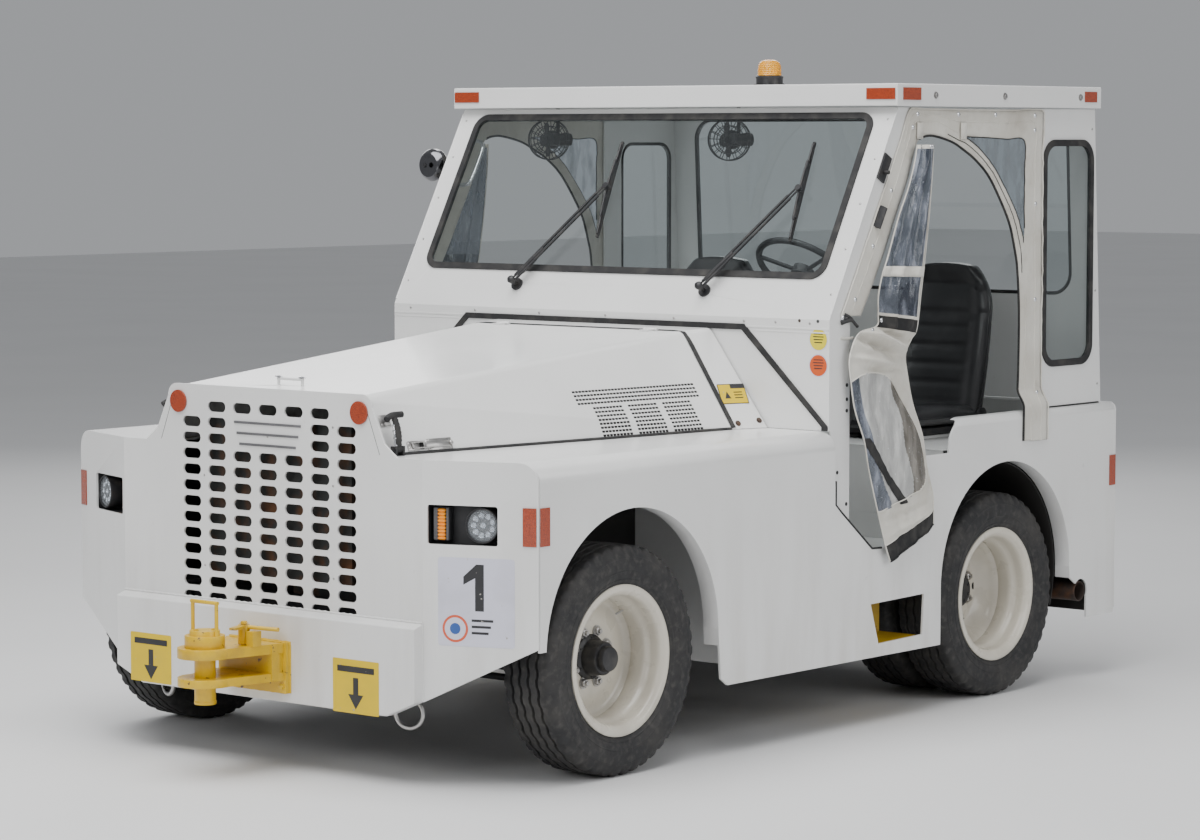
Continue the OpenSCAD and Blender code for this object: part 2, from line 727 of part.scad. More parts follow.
module reflectors() color(amber) {
    both_sides() {
        rod_y(38, nose_y - 7, nose_y - gap, 420, 1200);
        on_sweep() rbox([343, -3.5, 797], [389, -gap, 920]);
        rbox([side_x + gap, -446, 797], [side_x + 3.5, -400, 920]);
        rbox([side_x + gap, 2944, 742], [side_x + 3.5, 2986, 860]);
        rbox([925, 1506, 2224], [1050, 1509.5, 2264]);
        rbox([wall_x + 23.5, 1545, 2222], [wall_x + 26.5, 1655, 2266]);
        rbox([wall_x + 23.5, 2750, 2222], [wall_x + 26.5, 2835, 2262]);
    }
}

module beacon_lens() color(amber) translate([0, 2160, roof_z + 40.5]) {
    rotate_extrude() polygon([[0, 0], [47, 0], [46, 45], [38, 60], [20, 66], [0, 68]]);
}

// Beacon base, mirror bracket, wiper bosses, fan motors and latch brackets
module black_fittings() color(black) {
    translate([0, 2160, roof_z]) {
        cylinder(r = 62, h = 14);
        cylinder(r = 52, h = 40);
    }
    // mirror bracket on the right door post and its bare twin on the left
    both_sides() translate([wall_x, 1460, 1980]) rotate([-rake, 0, 0]) rbox([0.5, -22, -50], [7, 22, 50]);
    rod(6, [-wall_x - 6, 1475, 2005], [-1086, 1490, 1982]);
    rod(6, [-wall_x - 6, 1447, 1955], [-1086, 1490, 1978]);
    rod_z(9, 1970, 1990, -1087, 1490);
    rod_x(7, wall_x + 6, wall_x + 28, 1455, 1965);
    // wiper bosses through the screen panel
    for (s = [-1, 1]) on_screen() translate([s * wiper_x, 0, wiper_s]) rotate([90, 0, 0]) {
        translate([0, 0, 0.5]) cylinder(r = 24, h = 8);
        translate([0, 0, -12]) cylinder(r = 8, h = 40);
        translate([0, 0, 28]) cylinder(r = 5, h = 16);
    }
    for (c = fan_places) translate([c[0], c[1], c[2]]) rotate([0, 0, c[3]]) {
        rod_z(7, 20, eaves_z + 3.5 - c[2], 0, 40);
        rod_y(24, 6, 92, 0, 0);
        rod_y(4, -12, 7, 0, 0);
    }
    // draw latch brackets
    both_sides() {
        for (y = [-552, -516]) rbox([latch_at[0] - 11, y, deck_z + gap], [latch_at[0] + 12, y + 8, 1094]);
        rod_y(4, -546, -510, latch_at[0], latch_at[1]);
    }
}

module cab_fan(c) color(black) {
    translate([c[0], c[1], c[2]]) rotate([0, 0, c[3]]) difference() {
        union() {
            rod_y(16, -14, 4, 0, 0);
            slab_y(-8, -4) for (a = [0 : 90 : 270]) rotate(a) {
                square([48, 20]);
                translate([46, 6]) circle(20);
            }
        }
        rod_y(4 + run, -20, 10, 0, 0);
    }
}
module cab_fan_left() { cab_fan(fan_places[0]); }
module cab_fan_right() { cab_fan(fan_places[1]); }

module exhaust_pipe() color([0.35, 0.25, 0.2]) {
    translate([0, 2744, 347]) rotate([0, 90, 0]) difference() {
        translate([0, 0, 560]) cylinder(r = 38, h = 500);
        translate([0, 0, 559]) cylinder(r = 35, h = 502);
    }
}

module side_steps() color(yellow) {
    both_sides() {
        rbox([866, 1385, 276], [side_x - 9, 1690, 288]);
        rbox([860, 1385, 276], [866, 1690, 446]);
    }
}

module door_surrounds() color([0.86, 0.84, 0.79]) {
    both_sides() {
        slab_x(wall_x + 1, wall_x + 4) polygon([
            [1196, 1460], [door_y + 63, 1460], [1440, 1640], [1530, 1800], [1605, 1935], [1656, 2079],
            [1888, 2079], [1960, 2043], [2042, 2004], [2129, 1943], [2213, 1847], [2272, 1760],
            [2307, 1666], [2329, 1576], [2340, 1332], [2332, 1142], [2494, 1142], [2494, 2194], [1615, 2194]]);
        slab_y(2330, 2494) polygon([[wall_x + 1, 1141], [wall_x + 4, 1141], [side_x + 6, 1086], [side_x + 6, 944],
                                    [side_x + 2, 944], [side_x + 2, 1084]]);
    }
}

// Soft doors, gathered forward and hanging from the front posts
module door_flaps() color([0.82, 0.8, 0.75]) {
    both_sides() {
        slab_x(wall_x + 6, wall_x + 60) polygon([
            [1628, 2066], [1728, 2066], [1704, 1830], [1672, 1640], [1636, 1434], [1566, 1330], [1572, 1265],
            [1622, 1077], [1650, 945], [1300, 945], [1256, 1110], [1222, 1235], [1212, 1320], [1262, 1405],
            [1383, 1432], [1420, 1610], [1524, 1800], [1577, 1900]]);
        slab_x(side_x + 3, wall_x + 80) polygon([
            [1668, 880], [1706, 742], [1706, 692], [1437, 575], [1407, 636], [1345, 800], [1300, 960],
            [1300, 1000], [1640, 1000]]);
    }
}

// ---- hitches ----

module hitch_jaws() {
    face = nose_y - bumper_t;
    difference() {
        union() {
            rbox([-140, face - 20, 262], [140, face, jaw_top]);
            for (z = [[jaw_z, jaw_z + jaw_t[0]], [jaw_top - jaw_t[1], jaw_top]]) translate([0, 0, z[0]])
                linear_extrude(z[1] - z[0]) {
                    polygon([[-130, face - 20], [-87, pin_y + 15], [87, pin_y + 15], [130, face - 20]]);
                    translate([0, pin_y]) circle(90);
                }
            rbox([-125, face - 70, jaw_z + 5], [125, face - 20, jaw_top - 5]);
        }
        rod_z(pin_d / 2 + 0.08, 200, 500, 0, pin_y);
    }
}

module hitch_pin() {
    rod_z(pin_d / 2, 243, jaw_top + 5, 0, pin_y);
    rod_z(66, jaw_top + 0.5, jaw_top + 40, 0, pin_y);
    rod_z(50, jaw_top + 40, jaw_top + 56, 0, pin_y);
    for (s = [-1, 1]) rod_z(6.5, jaw_top + 30, 578, s * 55, pin_y);
    rod_x(6.5, -61.5, 61.5, pin_y, 578);
}

module rearward() { translate([0, nose_y - bumper_t + tail_y, 0]) rotate([0, 0, 180]) children(); }

module hitch_front() color(yellow) {
    hitch_jaws();
    rod_z(9, jaw_top - 1, 500, lever_at[0], lever_at[1]);
    rbox([85, -780, jaw_top - 1], [115, -740, 478]);
}
module hitch_rear() { color(yellow) rearward() hitch_jaws(); }
module hitch_pin_front() { color(yellow) hitch_pin(); }
module hitch_pin_rear() { color(yellow) rearward() hitch_pin(); }

// A dog that turns over the pin's cap to hold it down, with its handle
module hitch_lever() color(yellow) {
    translate(lever_at) difference() {
        union() {
            rod_z(20, jaw_top + 3, 496, 0, 0);
            rotate([0, 0, 8]) rod_x(7, 10, 140, 0, 489);
            rotate([0, 0, 291]) rbox([0, -12, 488], [90, 12, 496]);
        }
        rod_z(9 + run, 400, 520, 0, 0);
    }
}

// ---- driver's controls and seats ----

module on_column() { translate(wheel_pos) rotate([-column_lean, 0, 0]) children(); }

module steering_wheel() color(black) {
    r = steering_d / 2 - 12;
    on_column() difference() {
        union() {
            rotate_extrude($fn = 72) translate([r, 0]) circle(12);
            for (a = [90, 210, 330]) rotate([0, 0, a]) rod_x(8, 20, r, 0, -6);
            translate([0, 0, -30]) cylinder(r = 42, h = 34);
            translate([0, 0, -120]) cylinder(r = 12, h = 92);
        }
        translate([0, 0, -6]) cylinder(r = 30 + run, h = 20);
    }
}

module horn_button() color(black) {
    on_column() translate([0, 0, -1.5]) cylinder(r = 30, h = 11);
}

module seat() {
    slab_x(-215, 215) polygon([[2040, 985], [2030, 1050], [2080, 1085], [2400, 1060], [2450, 1110], [2480, 1540],
                               [2510, 1592], [2560, 1580], [2570, 1480], [2540, 1050], [2480, 985]]);
    rbox([-170, 2090, box_z + 16], [170, 2500, 985]);
    for (s = [-1, 1]) rbox([s * 142.5 - 12, 2110, box_z + 12.5], [s * 142.5 + 12, 2500, box_z + 17]);
}
module driver_seat() { color(black) translate([driver_x, 0, 0]) seat(); }
module passenger_seat() { color(black) translate([-driver_x, 0, 0]) seat(); }

module pedal(x, pad_w) {
    difference() {
        union() {
            rod_x(11, x - 11, x + 11, 1250, 980);
            slab_x(x - 6, x + 6) polygon([[1242, 980], [1258, 980], [1330, 760], [1316, 752]]);
            slab_x(x - pad_w / 2, x + pad_w / 2) polygon([[1312, 800], [1326, 806], [1352, 722], [1338, 716]]);
        }
        rod_x(6 + run, x - 30, x + 30, 1250, 980);
    }
}
module brake_pedal() { color(black) pedal(driver_x - 70, 90); }
module accelerator_pedal() { color(black) pedal(driver_x + 90, 60); }

module gear_lever() color(black) {
    difference() {
        union() {
            rod_x(12, 209, 231, 1550, 646);
            rod_z(7, 650, 900, 220, 1550);
            translate([220, 1550, 910]) sphere(r = 24);
        }
        rod_x(6 + run, 190, 250, 1550, 646);
    }
}

module mirror_head() color(steel) difference() {
    translate([-1150, 1490, 1980]) rotate([-90, 0, 0]) rotate_extrude() {
        intersection() {
            translate([0, 22]) circle(70);
            translate([0, -30]) square([63.5, 42]);
        }
        translate([0, 10]) square([63.5, 8]);
    }
    rod_z(9 + run, 1965, 1995, -1087, 1490);
}

// ---- wipers ----

// Arm and blade lean together; local -Y points out of the windscreen
module at_wiper(s) { on_screen() translate([s * wiper_x, 0, wiper_s]) rotate([0, wiper_a, 0]) children(); }

module wiper_arm(s) color(black) {
    at_wiper(s) difference() {
        union() {
            rod_y(13, -43, -30, 0, 0);
            for (x = [-7, 7]) rod_z(3.5, 0, wiper_l, x, -36);
            rod_y(12, -42, -30, 0, wiper_l);
            rod_y(3.5, -31, -17, 0, wiper_l);
        }
        rod_y(5 + run, -60, -10, 0, 0);
    }
}
module wiper_arm_left() { wiper_arm(1); }
module wiper_arm_right() { wiper_arm(-1); }

module wiper_blade(s) color(black) {
    at_wiper(s) translate([0, 0, wiper_l]) rotate([0, blade_a - wiper_a, 0]) difference() {
        union() {
            rbox([-4, -10, -blade_l / 2], [4, -1, blade_l / 2]);
            rbox([-5, -24, -110], [5, -9, 110]);
            rod_y(9, -29, -14, 0, 0);
        }
        rod_y(3.5 + run, -40, -15, 0, 0);
    }
}
module wiper_blade_left() { wiper_blade(1); }
module wiper_blade_right() { wiper_blade(-1); }

frame_rails();
front_shield();
bumper();
side_panel_left();
side_panel_right();
rear_panel();
inner_structure();
cowl_bridge();
cab_front();
cab_rear();
roof();
cab_glass();
window_seals();
dashboard();
powertrain();
under_floor_tanks();
front_axle();
rear_axle();
lamp_pods();
lamp_lenses();
reflectors();
black_fittings();
beacon_lens();
exhaust_pipe();
hitch_front();
hitch_rear();
side_steps();
door_surrounds();
door_flaps();
hood();
hood_latch_left();
hood_latch_right();
knuckle_left();
knuckle_right();
tie_rod();
tyre_front_left();
tyre_front_right();
tyres_rear_left();
tyres_rear_right();
wheel_front_left();
wheel_front_right();
wheels_rear_left();
wheels_rear_right();
steering_wheel();
horn_button();
wiper_arm_left();
wiper_arm_right();
wiper_blade_left();
wiper_blade_right();
hitch_pin_front();
hitch_pin_rear();
hitch_lever();
driver_seat();
passenger_seat();
brake_pedal();
accelerator_pedal();
gear_lever();
mirror_head();
cab_fan_left();
cab_fan_right();
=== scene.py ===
"""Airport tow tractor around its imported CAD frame. Metres; the nose points to -Y, the driver's side is +X."""
import json
from math import atan2, cos, exp, pi, radians, sin, tan

import bpy
from mathutils import Matrix, Vector, noise
from mathutils.bvhtree import BVHTree

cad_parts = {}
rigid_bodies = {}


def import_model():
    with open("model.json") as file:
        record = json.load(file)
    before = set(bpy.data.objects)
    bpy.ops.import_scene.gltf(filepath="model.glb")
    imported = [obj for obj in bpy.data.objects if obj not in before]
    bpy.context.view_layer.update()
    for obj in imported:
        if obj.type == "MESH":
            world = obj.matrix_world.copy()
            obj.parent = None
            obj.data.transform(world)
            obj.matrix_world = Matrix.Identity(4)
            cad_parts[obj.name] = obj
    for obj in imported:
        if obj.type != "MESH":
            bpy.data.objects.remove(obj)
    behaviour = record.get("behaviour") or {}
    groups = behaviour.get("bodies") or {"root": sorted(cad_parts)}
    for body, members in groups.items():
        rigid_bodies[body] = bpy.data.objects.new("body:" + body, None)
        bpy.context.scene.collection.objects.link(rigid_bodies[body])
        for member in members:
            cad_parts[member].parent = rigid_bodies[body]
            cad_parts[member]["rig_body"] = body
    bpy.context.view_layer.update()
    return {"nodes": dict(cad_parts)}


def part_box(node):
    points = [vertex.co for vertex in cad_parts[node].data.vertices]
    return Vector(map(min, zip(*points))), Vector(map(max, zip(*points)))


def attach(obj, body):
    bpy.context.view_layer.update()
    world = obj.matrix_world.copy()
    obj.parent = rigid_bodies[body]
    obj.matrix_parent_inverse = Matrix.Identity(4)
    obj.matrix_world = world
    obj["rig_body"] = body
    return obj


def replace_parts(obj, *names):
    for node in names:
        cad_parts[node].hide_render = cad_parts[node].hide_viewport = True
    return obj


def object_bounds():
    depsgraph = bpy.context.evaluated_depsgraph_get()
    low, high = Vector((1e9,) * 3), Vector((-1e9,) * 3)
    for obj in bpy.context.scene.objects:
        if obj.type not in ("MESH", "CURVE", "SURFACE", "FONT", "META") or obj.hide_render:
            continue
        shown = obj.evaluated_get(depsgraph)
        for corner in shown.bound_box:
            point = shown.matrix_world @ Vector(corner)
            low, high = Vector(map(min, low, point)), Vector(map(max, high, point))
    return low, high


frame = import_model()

V = Vector

# ---------------- camera and light

def make_camera():
    data = bpy.data.cameras.new("camera")
    data.lens = 108.09
    data.sensor_width = 36
    data.clip_end = 100
    camera = bpy.data.objects.new("camera", data)
    camera.location = (8.4426, -9.0335, 2.0859)
    camera.rotation_euler = (radians(90 - 4.474), 0, radians(39.707))
    bpy.context.scene.collection.objects.link(camera)
    bpy.context.scene.camera = camera


def side_of(s):
    return "left" if s > 0 else "right"


def area_light(name, place, target, size, power, color=(1, 1, 1)):
    data = bpy.data.lights.new(name, "AREA")
    data.shape = "RECTANGLE"
    data.size, data.size_y = size
    data.energy = power
    data.color = color
    light = bpy.data.objects.new(name, data)
    light.location = place
    light.rotation_euler = (V(target) - V(place)).to_track_quat("-Z", "Y").to_euler()
    bpy.context.scene.collection.objects.link(light)


make_camera()
area_light("top", (0.5, -1.5, 7.5), (0, 0.4, 0), (7, 7), 860)
area_light("front", (1.5, -9, 4.5), (0, 0, 1), (6, 4), 260)
area_light("side", (9, 1.5, 4.5), (0, 1.5, 1), (7, 4), 265)
area_light("back", (-6, 8, 5), (0, 1, 1), (6, 4), 220)
world = bpy.data.worlds.new("studio")
bpy.context.scene.world = world
world.use_nodes = True
world.node_tree.nodes["Background"].inputs["Color"].default_value = (0.80, 0.82, 0.85, 1)
world.node_tree.nodes["Background"].inputs["Strength"].default_value = 0.45


# ---------------- materials

class Material:
    """A node material around one Principled shader, with short calls for what the surfaces need."""

    def __init__(self, name, color=(0.8, 0.8, 0.8), rough=0.5, **values):
        self.mat = bpy.data.materials.new(name)
        self.mat.use_nodes = True
        self.tree = self.mat.node_tree
        self.shader = self.tree.nodes["Principled BSDF"]
        self.coords = self.tree.nodes.new("ShaderNodeTexCoord").outputs["Object"]
        self.set("Base Color", (*color, 1))
        self.set("Roughness", rough)
        for key, value in values.items():
            self.set(key.replace("_", " "), value)
        self.height = None

    def set(self, socket, value):
        self.shader.inputs[socket].default_value = value

    def join(self, out, into):
        self.tree.links.new(out, into)

    def node(self, kind, inputs=(), **settings):
        made = self.tree.nodes.new("ShaderNode" + kind)
        for key, value in settings.items():
            setattr(made, key, value)
        for key, value in dict(inputs).items():
            if isinstance(value, bpy.types.NodeSocket):
                self.join(value, made.inputs[key])
            else:
                made.inputs[key].default_value = value
        return made

    def scaled(self, scale):
        return self.node("Mapping", {"Vector": self.coords, "Scale": scale}).outputs[0]

    def noise(self, scale, detail=3.0, stretch=(1, 1, 1)):
        return self.node("TexNoise", {"Vector": self.scaled(stretch), "Scale": scale,
                                      "Detail": detail}).outputs[0]

    def cells(self, scale, stretch=(1, 1, 1)):
        return self.node("TexVoronoi", {"Vector": self.scaled(stretch), "Scale": scale}).outputs[0]

    def waves(self, scale, axis="X", distortion=0.0):
        return self.node("TexWave", {"Vector": self.coords, "Scale": scale, "Distortion": distortion},
                         bands_direction=axis).outputs["Fac"]

    def math(self, operation, a, b=0.0, clamp=False):
        return self.node("Math", {0: a, 1: b}, operation=operation, use_clamp=clamp).outputs[0]

    def span(self, value, low, high, to_low=0.0, to_high=1.0):
        return self.node("MapRange", {"Value": value, "From Min": low, "From Max": high,
                                      "To Min": to_low, "To Max": to_high}).outputs[0]

    def axis(self, name):
        return self.node("SeparateXYZ", {0: self.coords}).outputs[name]

    def color_by(self, fac, color):
        """Paints color over the surface's own where fac is 1, and less of it down to 0."""
        base = self.shader.inputs["Base Color"]
        mix = self.node("Mix", {"Factor": fac}, data_type="RGBA")
        if base.is_linked:
            self.join(base.links[0].from_socket, mix.inputs["A"])
        else:
            mix.inputs["A"].default_value = base.default_value
        mix.inputs["B"].default_value = (*color, 1)
        self.join(mix.outputs["Result"], base)

    def clouds(self, scale, detail, low, high, color):
        """Patches of another colour where a noise passes from low to high."""
        self.color_by(self.span(self.noise(scale, detail), low, high), color)

    def rough_by(self, fac, low, high):
        self.join(self.span(fac, 0, 1, low, high), self.shader.inputs["Roughness"])

    def see_through(self, fac, tint, front=None):
        """Clear and tinted where fac is 0; where it is 1, the surface itself or front shows."""
        through = self.node("BsdfTransparent", {"Color": (*tint, 1)})
        mix = self.node("MixShader", {"Fac": fac})
        self.join(through.outputs[0], mix.inputs[1])
        self.join((front or self.shader).outputs[0], mix.inputs[2])
        self.join(mix.outputs[0], self.tree.nodes["Material Output"].inputs["Surface"])

    def bump(self, height, depth, strength=1.0):
        """Adds a relief of that depth in metres."""
        inputs = {"Height": height, "Distance": depth, "Strength": strength}
        if self.height is not None:
            inputs["Normal"] = self.height
        self.height = self.node("Bump", inputs).outputs[0]
        self.join(self.height, self.shader.inputs["Normal"])


def finish(name, color, rough, clouds=(), gloss=(), bumps=(), **values):
    """A material that varies with noise, from rows of numbers.

    clouds has (scale, detail, low, high, colour), gloss (scale, detail, least, most) and bumps
    (scale, detail, depth, strength), with a detail of 0 for cells.
    """
    m = Material(name, color, rough, **values)
    for cloud in clouds:
        m.clouds(*cloud)
    if gloss:
        m.rough_by(m.noise(*gloss[:2]), *gloss[2:])
    for scale, detail, depth, strength in bumps:
        m.bump(m.noise(scale, detail) if detail else m.cells(scale), depth, strength)
    return m


def shade(color, share, lift=0.0):
    return tuple(min(c * share + lift, 1) for c in color)


def paint(name, color, amount=1.0, rough=0.28):
    """Gloss paint with a faint orange peel, uneven tone, and road dirt that thickens towards the ground."""
    m = finish(name, color, rough, [(1.6, 4, 0.35, 0.75, shade(color, 0.9))],
               (14, 4, rough - 0.06, rough + 0.16),
               [(260, 2, 0.0004, 0.12), (2.2, 2, 0.004, 0.10)], Coat_Weight=0.35, Coat_Roughness=0.12)
    streaks = m.span(m.noise(9, 6, (1, 1, 0.16)), 0.45, 0.8)
    dust = m.math("MULTIPLY", m.span(m.axis("Z"), 0.95, 0.2), streaks)
    m.color_by(m.math("MULTIPLY", dust, 0.42 * amount), DIRT)
    m.color_by(m.math("MULTIPLY", m.span(m.noise(60, 2), 0.68, 0.78), 0.10 * amount), DIRT)
    return m.mat


def paint_with_wheel_house_shade(name, color):
    """The same white inside the cab, and near black painted shade inside the wheel houses."""
    m = finish(name, color, 0.34, [(3, 5, 0.4, 0.75, shade(color, 0.84))], (14, 4, 0.3, 0.6),
               [(120, 3, 0.0008, 0.25)], Coat_Weight=0.2, Coat_Roughness=0.2)
    # rear and front mark the wheel houses' inner panels, which get near black painted shade at the end
    out = m.math("ABSOLUTE", m.axis("X"))
    rear = m.math("MULTIPLY", m.span(out, 0.545, 0.552), m.span(m.axis("Y"), 1.868, 1.872))
    rear = m.math("MULTIPLY", rear, m.span(m.axis("Z"), 0.93, 0.90))
    front = m.math("MULTIPLY", m.span(out, 0.590, 0.595), m.span(out, 0.606, 0.602))
    front = m.math("MULTIPLY", front, m.span(m.axis("Y"), 0.62, 0.61))
    m.color_by(m.math("MAXIMUM", rear, front), (0.018, 0.017, 0.016))
    return m.mat


def yellow_paint(name):
    """Thick brushed enamel, chipped to rust and greasy in places."""
    m = finish(name, (0.66, 0.42, 0.002), 0.38,
               [(9, 4, 0.4, 0.75, (0.52, 0.31, 0.002)), (38, 6, 0.66, 0.70, (0.10, 0.055, 0.03))],
               (30, 4, 0.25, 0.55), [(70, 4, 0.0012, 0.5)], Coat_Weight=0.2, Coat_Roughness=0.2)
    m.color_by(m.math("MULTIPLY", m.span(m.noise(16, 5), 0.5, 0.8), 0.55), (0.30, 0.19, 0.04))
    return m.mat


def black_metal(name, rough=0.38):
    return finish(name, (0.016, 0.016, 0.018), rough, [(24, 5, 0.5, 0.85, (0.055, 0.05, 0.045))],
                  (40, 4, rough - 0.1, rough + 0.2), [(420, 2, 0.0003, 0.25)]).mat


def plastic(name, color=(0.022, 0.022, 0.024), rough=0.5):
    return finish(name, color, rough, [(7, 4, 0.4, 0.8, shade(color, 1.7, 0.006))],
                  (55, 3, rough - 0.08, rough + 0.12), [(900, 0, 0.0003, 0.35)]).mat


def rubber(name, rough=0.72):
    return finish(name, (0.012, 0.012, 0.013), rough, [(18, 5, 0.45, 0.8, (0.05, 0.047, 0.043))],
                  (60, 3, rough - 0.12, rough + 0.15), [(500, 3, 0.0003, 0.3)]).mat


def tyre_rubber():
    """Black rubber, greyed by dust."""
    m = finish("tyre", (0.014, 0.014, 0.015), 0.7, [(7, 6, 0.42, 0.75, (0.042, 0.039, 0.036))],
               (30, 4, 0.5, 0.85), [(300, 4, 0.0006, 0.4)])
    m.color_by(m.math("MULTIPLY", m.span(m.noise(45, 6), 0.5, 0.8), 0.5), (0.09, 0.082, 0.074))
    return m.mat


def vinyl(name):
    """Black grained seat vinyl, polished by use."""
    return finish(name, (0.012, 0.012, 0.014), 0.32, [(6, 5, 0.45, 0.8, (0.035, 0.034, 0.036))],
                  (12, 4, 0.26, 0.5), [(520, 0, 0.0004, 0.5), (35, 3, 0.0015, 0.2)],
                  Coat_Weight=0.4, Coat_Roughness=0.18).mat


def canvas(name, color=(0.62, 0.60, 0.54)):
    """Vinyl-coated cloth: a fine plain weave under the coating, with brownish patches of soil and painted fold
    shade.
    """
    m = finish(name, color, 0.62, [(5, 5, 0.38, 0.72, (0.50, 0.47, 0.41))], (30, 4, 0.5, 0.78),
               Sheen_Weight=0.25)
    # brownish noise patches: soil, and painted shade standing in for the shade in the cloth's folds
    m.color_by(m.math("MULTIPLY", m.span(m.noise(14, 7), 0.56, 0.80), 0.32), (0.32, 0.28, 0.22))
    m.bump(m.math("MULTIPLY", m.waves(260, "Z"), m.waves(260, "Y")), 0.0004, 0.35)
    m.bump(m.noise(26, 4), 0.004, 0.35)
    m.bump(m.noise(55, 5, (1, 1, 0.6)), 0.006, 0.45)
    return m.mat


def clear_vinyl(name, tint, share, milk=(0.33, 0.36, 0.43)):
    """Clouded clear plastic: partly see-through, with glossy creases, bloom and tiny painted highlight specks.
    """
    m = Material(name, tint, 0.16, Specular_IOR_Level=0.7)
    cloud = m.span(m.noise(22, 5, (1, 1, 0.35)), 0.42, 0.74)
    m.color_by(cloud, milk)
    # tiny pale specks in the colour: painted highlights
    m.clouds(150, 2, 0.70, 0.74, (0.72, 0.75, 0.80))
    m.bump(m.noise(34, 5, (1, 1, 0.3)), 0.01, 0.7)
    m.rough_by(cloud, 0.08, 0.4)
    m.see_through(m.span(cloud, 0, 1, share, min(share + 0.42, 1)), (0.9, 0.93, 0.96))
    return m.mat


def window_glass(name):
    """Flat glass: clear, mirrored at a glance, with a thin film of dust."""
    m = Material(name, (0.75, 0.79, 0.80), 0.02)
    m.rough_by(m.span(m.noise(9, 5), 0.4, 0.8), 0.0, 0.08)
    glance = m.math("POWER", m.node("LayerWeight", {"Blend": 0.5}).outputs["Facing"], 4.0)
    mirror = m.span(glance, 0, 1, 0.035, 0.75)
    film = m.math("ADD", m.math("MULTIPLY", m.span(m.noise(3, 6), 0.4, 0.8), 0.05), mirror, clamp=True)
    gloss = m.node("BsdfGlossy", {"Color": (0.9, 0.93, 0.94, 1), "Roughness": 0.03})
    m.see_through(film, (0.90, 0.925, 0.925), gloss)
    return m.mat


def chrome(name, color=(0.82, 0.83, 0.85), rough=0.08):
    return finish(name, color, rough, [(30, 6, 0.55, 0.8, shade(color, 0.72))],
                  (45, 4, rough, rough + 0.14), Metallic=1.0).mat


def cast_iron(name, color=(0.05, 0.052, 0.05), rust=(0.16, 0.07, 0.03)):
    return finish(name, color, 0.6, [(11, 6, 0.48, 0.7, rust)], (30, 4, 0.45, 0.8),
                  [(150, 4, 0.001, 0.5)], Metallic=0.35).mat


def reflector(name, color):
    """Moulded prism cells under a clear gloss face."""
    m = Material(name, color, 0.2, Coat_Weight=0.8, Coat_Roughness=0.05)
    cells = m.cells(330)
    m.color_by(m.span(cells, 0.1, 0.7), shade(color, 0.45))
    m.bump(cells, 0.001, 0.6)
    return m.mat


def amber(name):
    """Fluted amber plastic."""
    m = Material(name, (0.95, 0.36, 0.01), 0.12, Transmission_Weight=0.45, IOR=1.45)
    m.color_by(m.span(m.waves(42, "Z"), 0.3, 0.7), (0.98, 0.52, 0.03))
    m.bump(m.waves(42, "Z"), 0.002, 0.6)
    return m.mat


def decal(name, color):
    """Vinyl film, faded and scuffed."""
    return finish(name, color, 0.42, [(9, 5, 0.45, 0.8, shade(color, 0.82, 0.02)),
                                      (70, 5, 0.70, 0.74, (0.35, 0.33, 0.3))], (25, 3, 0.35, 0.55)).mat


DIRT = (0.36, 0.32, 0.27)
CREAM = paint("cream_paint", (0.76, 0.76, 0.75))
WHEEL_HOUSE_SHADED_PAINT = paint_with_wheel_house_shade("paint_with_wheel_house_shade", (0.74, 0.74, 0.73))
RIM = paint("rim_paint", (0.66, 0.62, 0.53), amount=1.4, rough=0.24)
YELLOW = yellow_paint("yellow_paint")
FRAME = black_metal("frame_paint", 0.55)
BLACK = black_metal("black_metal")
PLASTIC = plastic("black_plastic")
GREY = plastic("grey_plastic", (0.10, 0.10, 0.105))
RUBBER = rubber("rubber")
TYRE = tyre_rubber()
VINYL = vinyl("seat_vinyl")
CANVAS = canvas("door_canvas")
WEB = canvas("web_strap", (0.70, 0.68, 0.62))
HEM = rubber("black_binding", 0.8)
CLEAR = clear_vinyl("clear_window", (0.060, 0.068, 0.090), 0.50)
MILKY = clear_vinyl("milky_window", (0.40, 0.40, 0.39), 0.90, (0.60, 0.60, 0.58))
DARKER_CLEAR = clear_vinyl("darker_window", (0.13, 0.118, 0.10), 0.86, (0.30, 0.28, 0.25))
CORNER = clear_vinyl("corner_window", (0.10, 0.105, 0.11), 0.06, (0.20, 0.21, 0.22))
GLASS = window_glass("window_glass")
CHROME = chrome("chrome")
# chrome darkened as if it mirrored dark surroundings: a painted reflection
REFLECTION_DARKENED_CHROME = chrome("chrome_painted_dark_reflection", (0.16, 0.16, 0.17), 0.10)
STEEL = chrome("worn_steel", (0.45, 0.44, 0.43), 0.28)
IRON = cast_iron("engine_iron")
RUST = cast_iron("rusty_pipe", (0.055, 0.04, 0.034))
ORANGE = reflector("orange_reflector", (0.50, 0.055, 0.004))
RED = reflector("red_reflector", (0.62, 0.02, 0.012))
AMBER = amber("amber_lens")
# near black painted shade for holes and gaps: the hood's slits, the rear wheels' hand holes and the clasp's
# gaps
GAP_SHADE = plastic("painted_gap_shade", (0.004, 0.004, 0.004), 0.9)


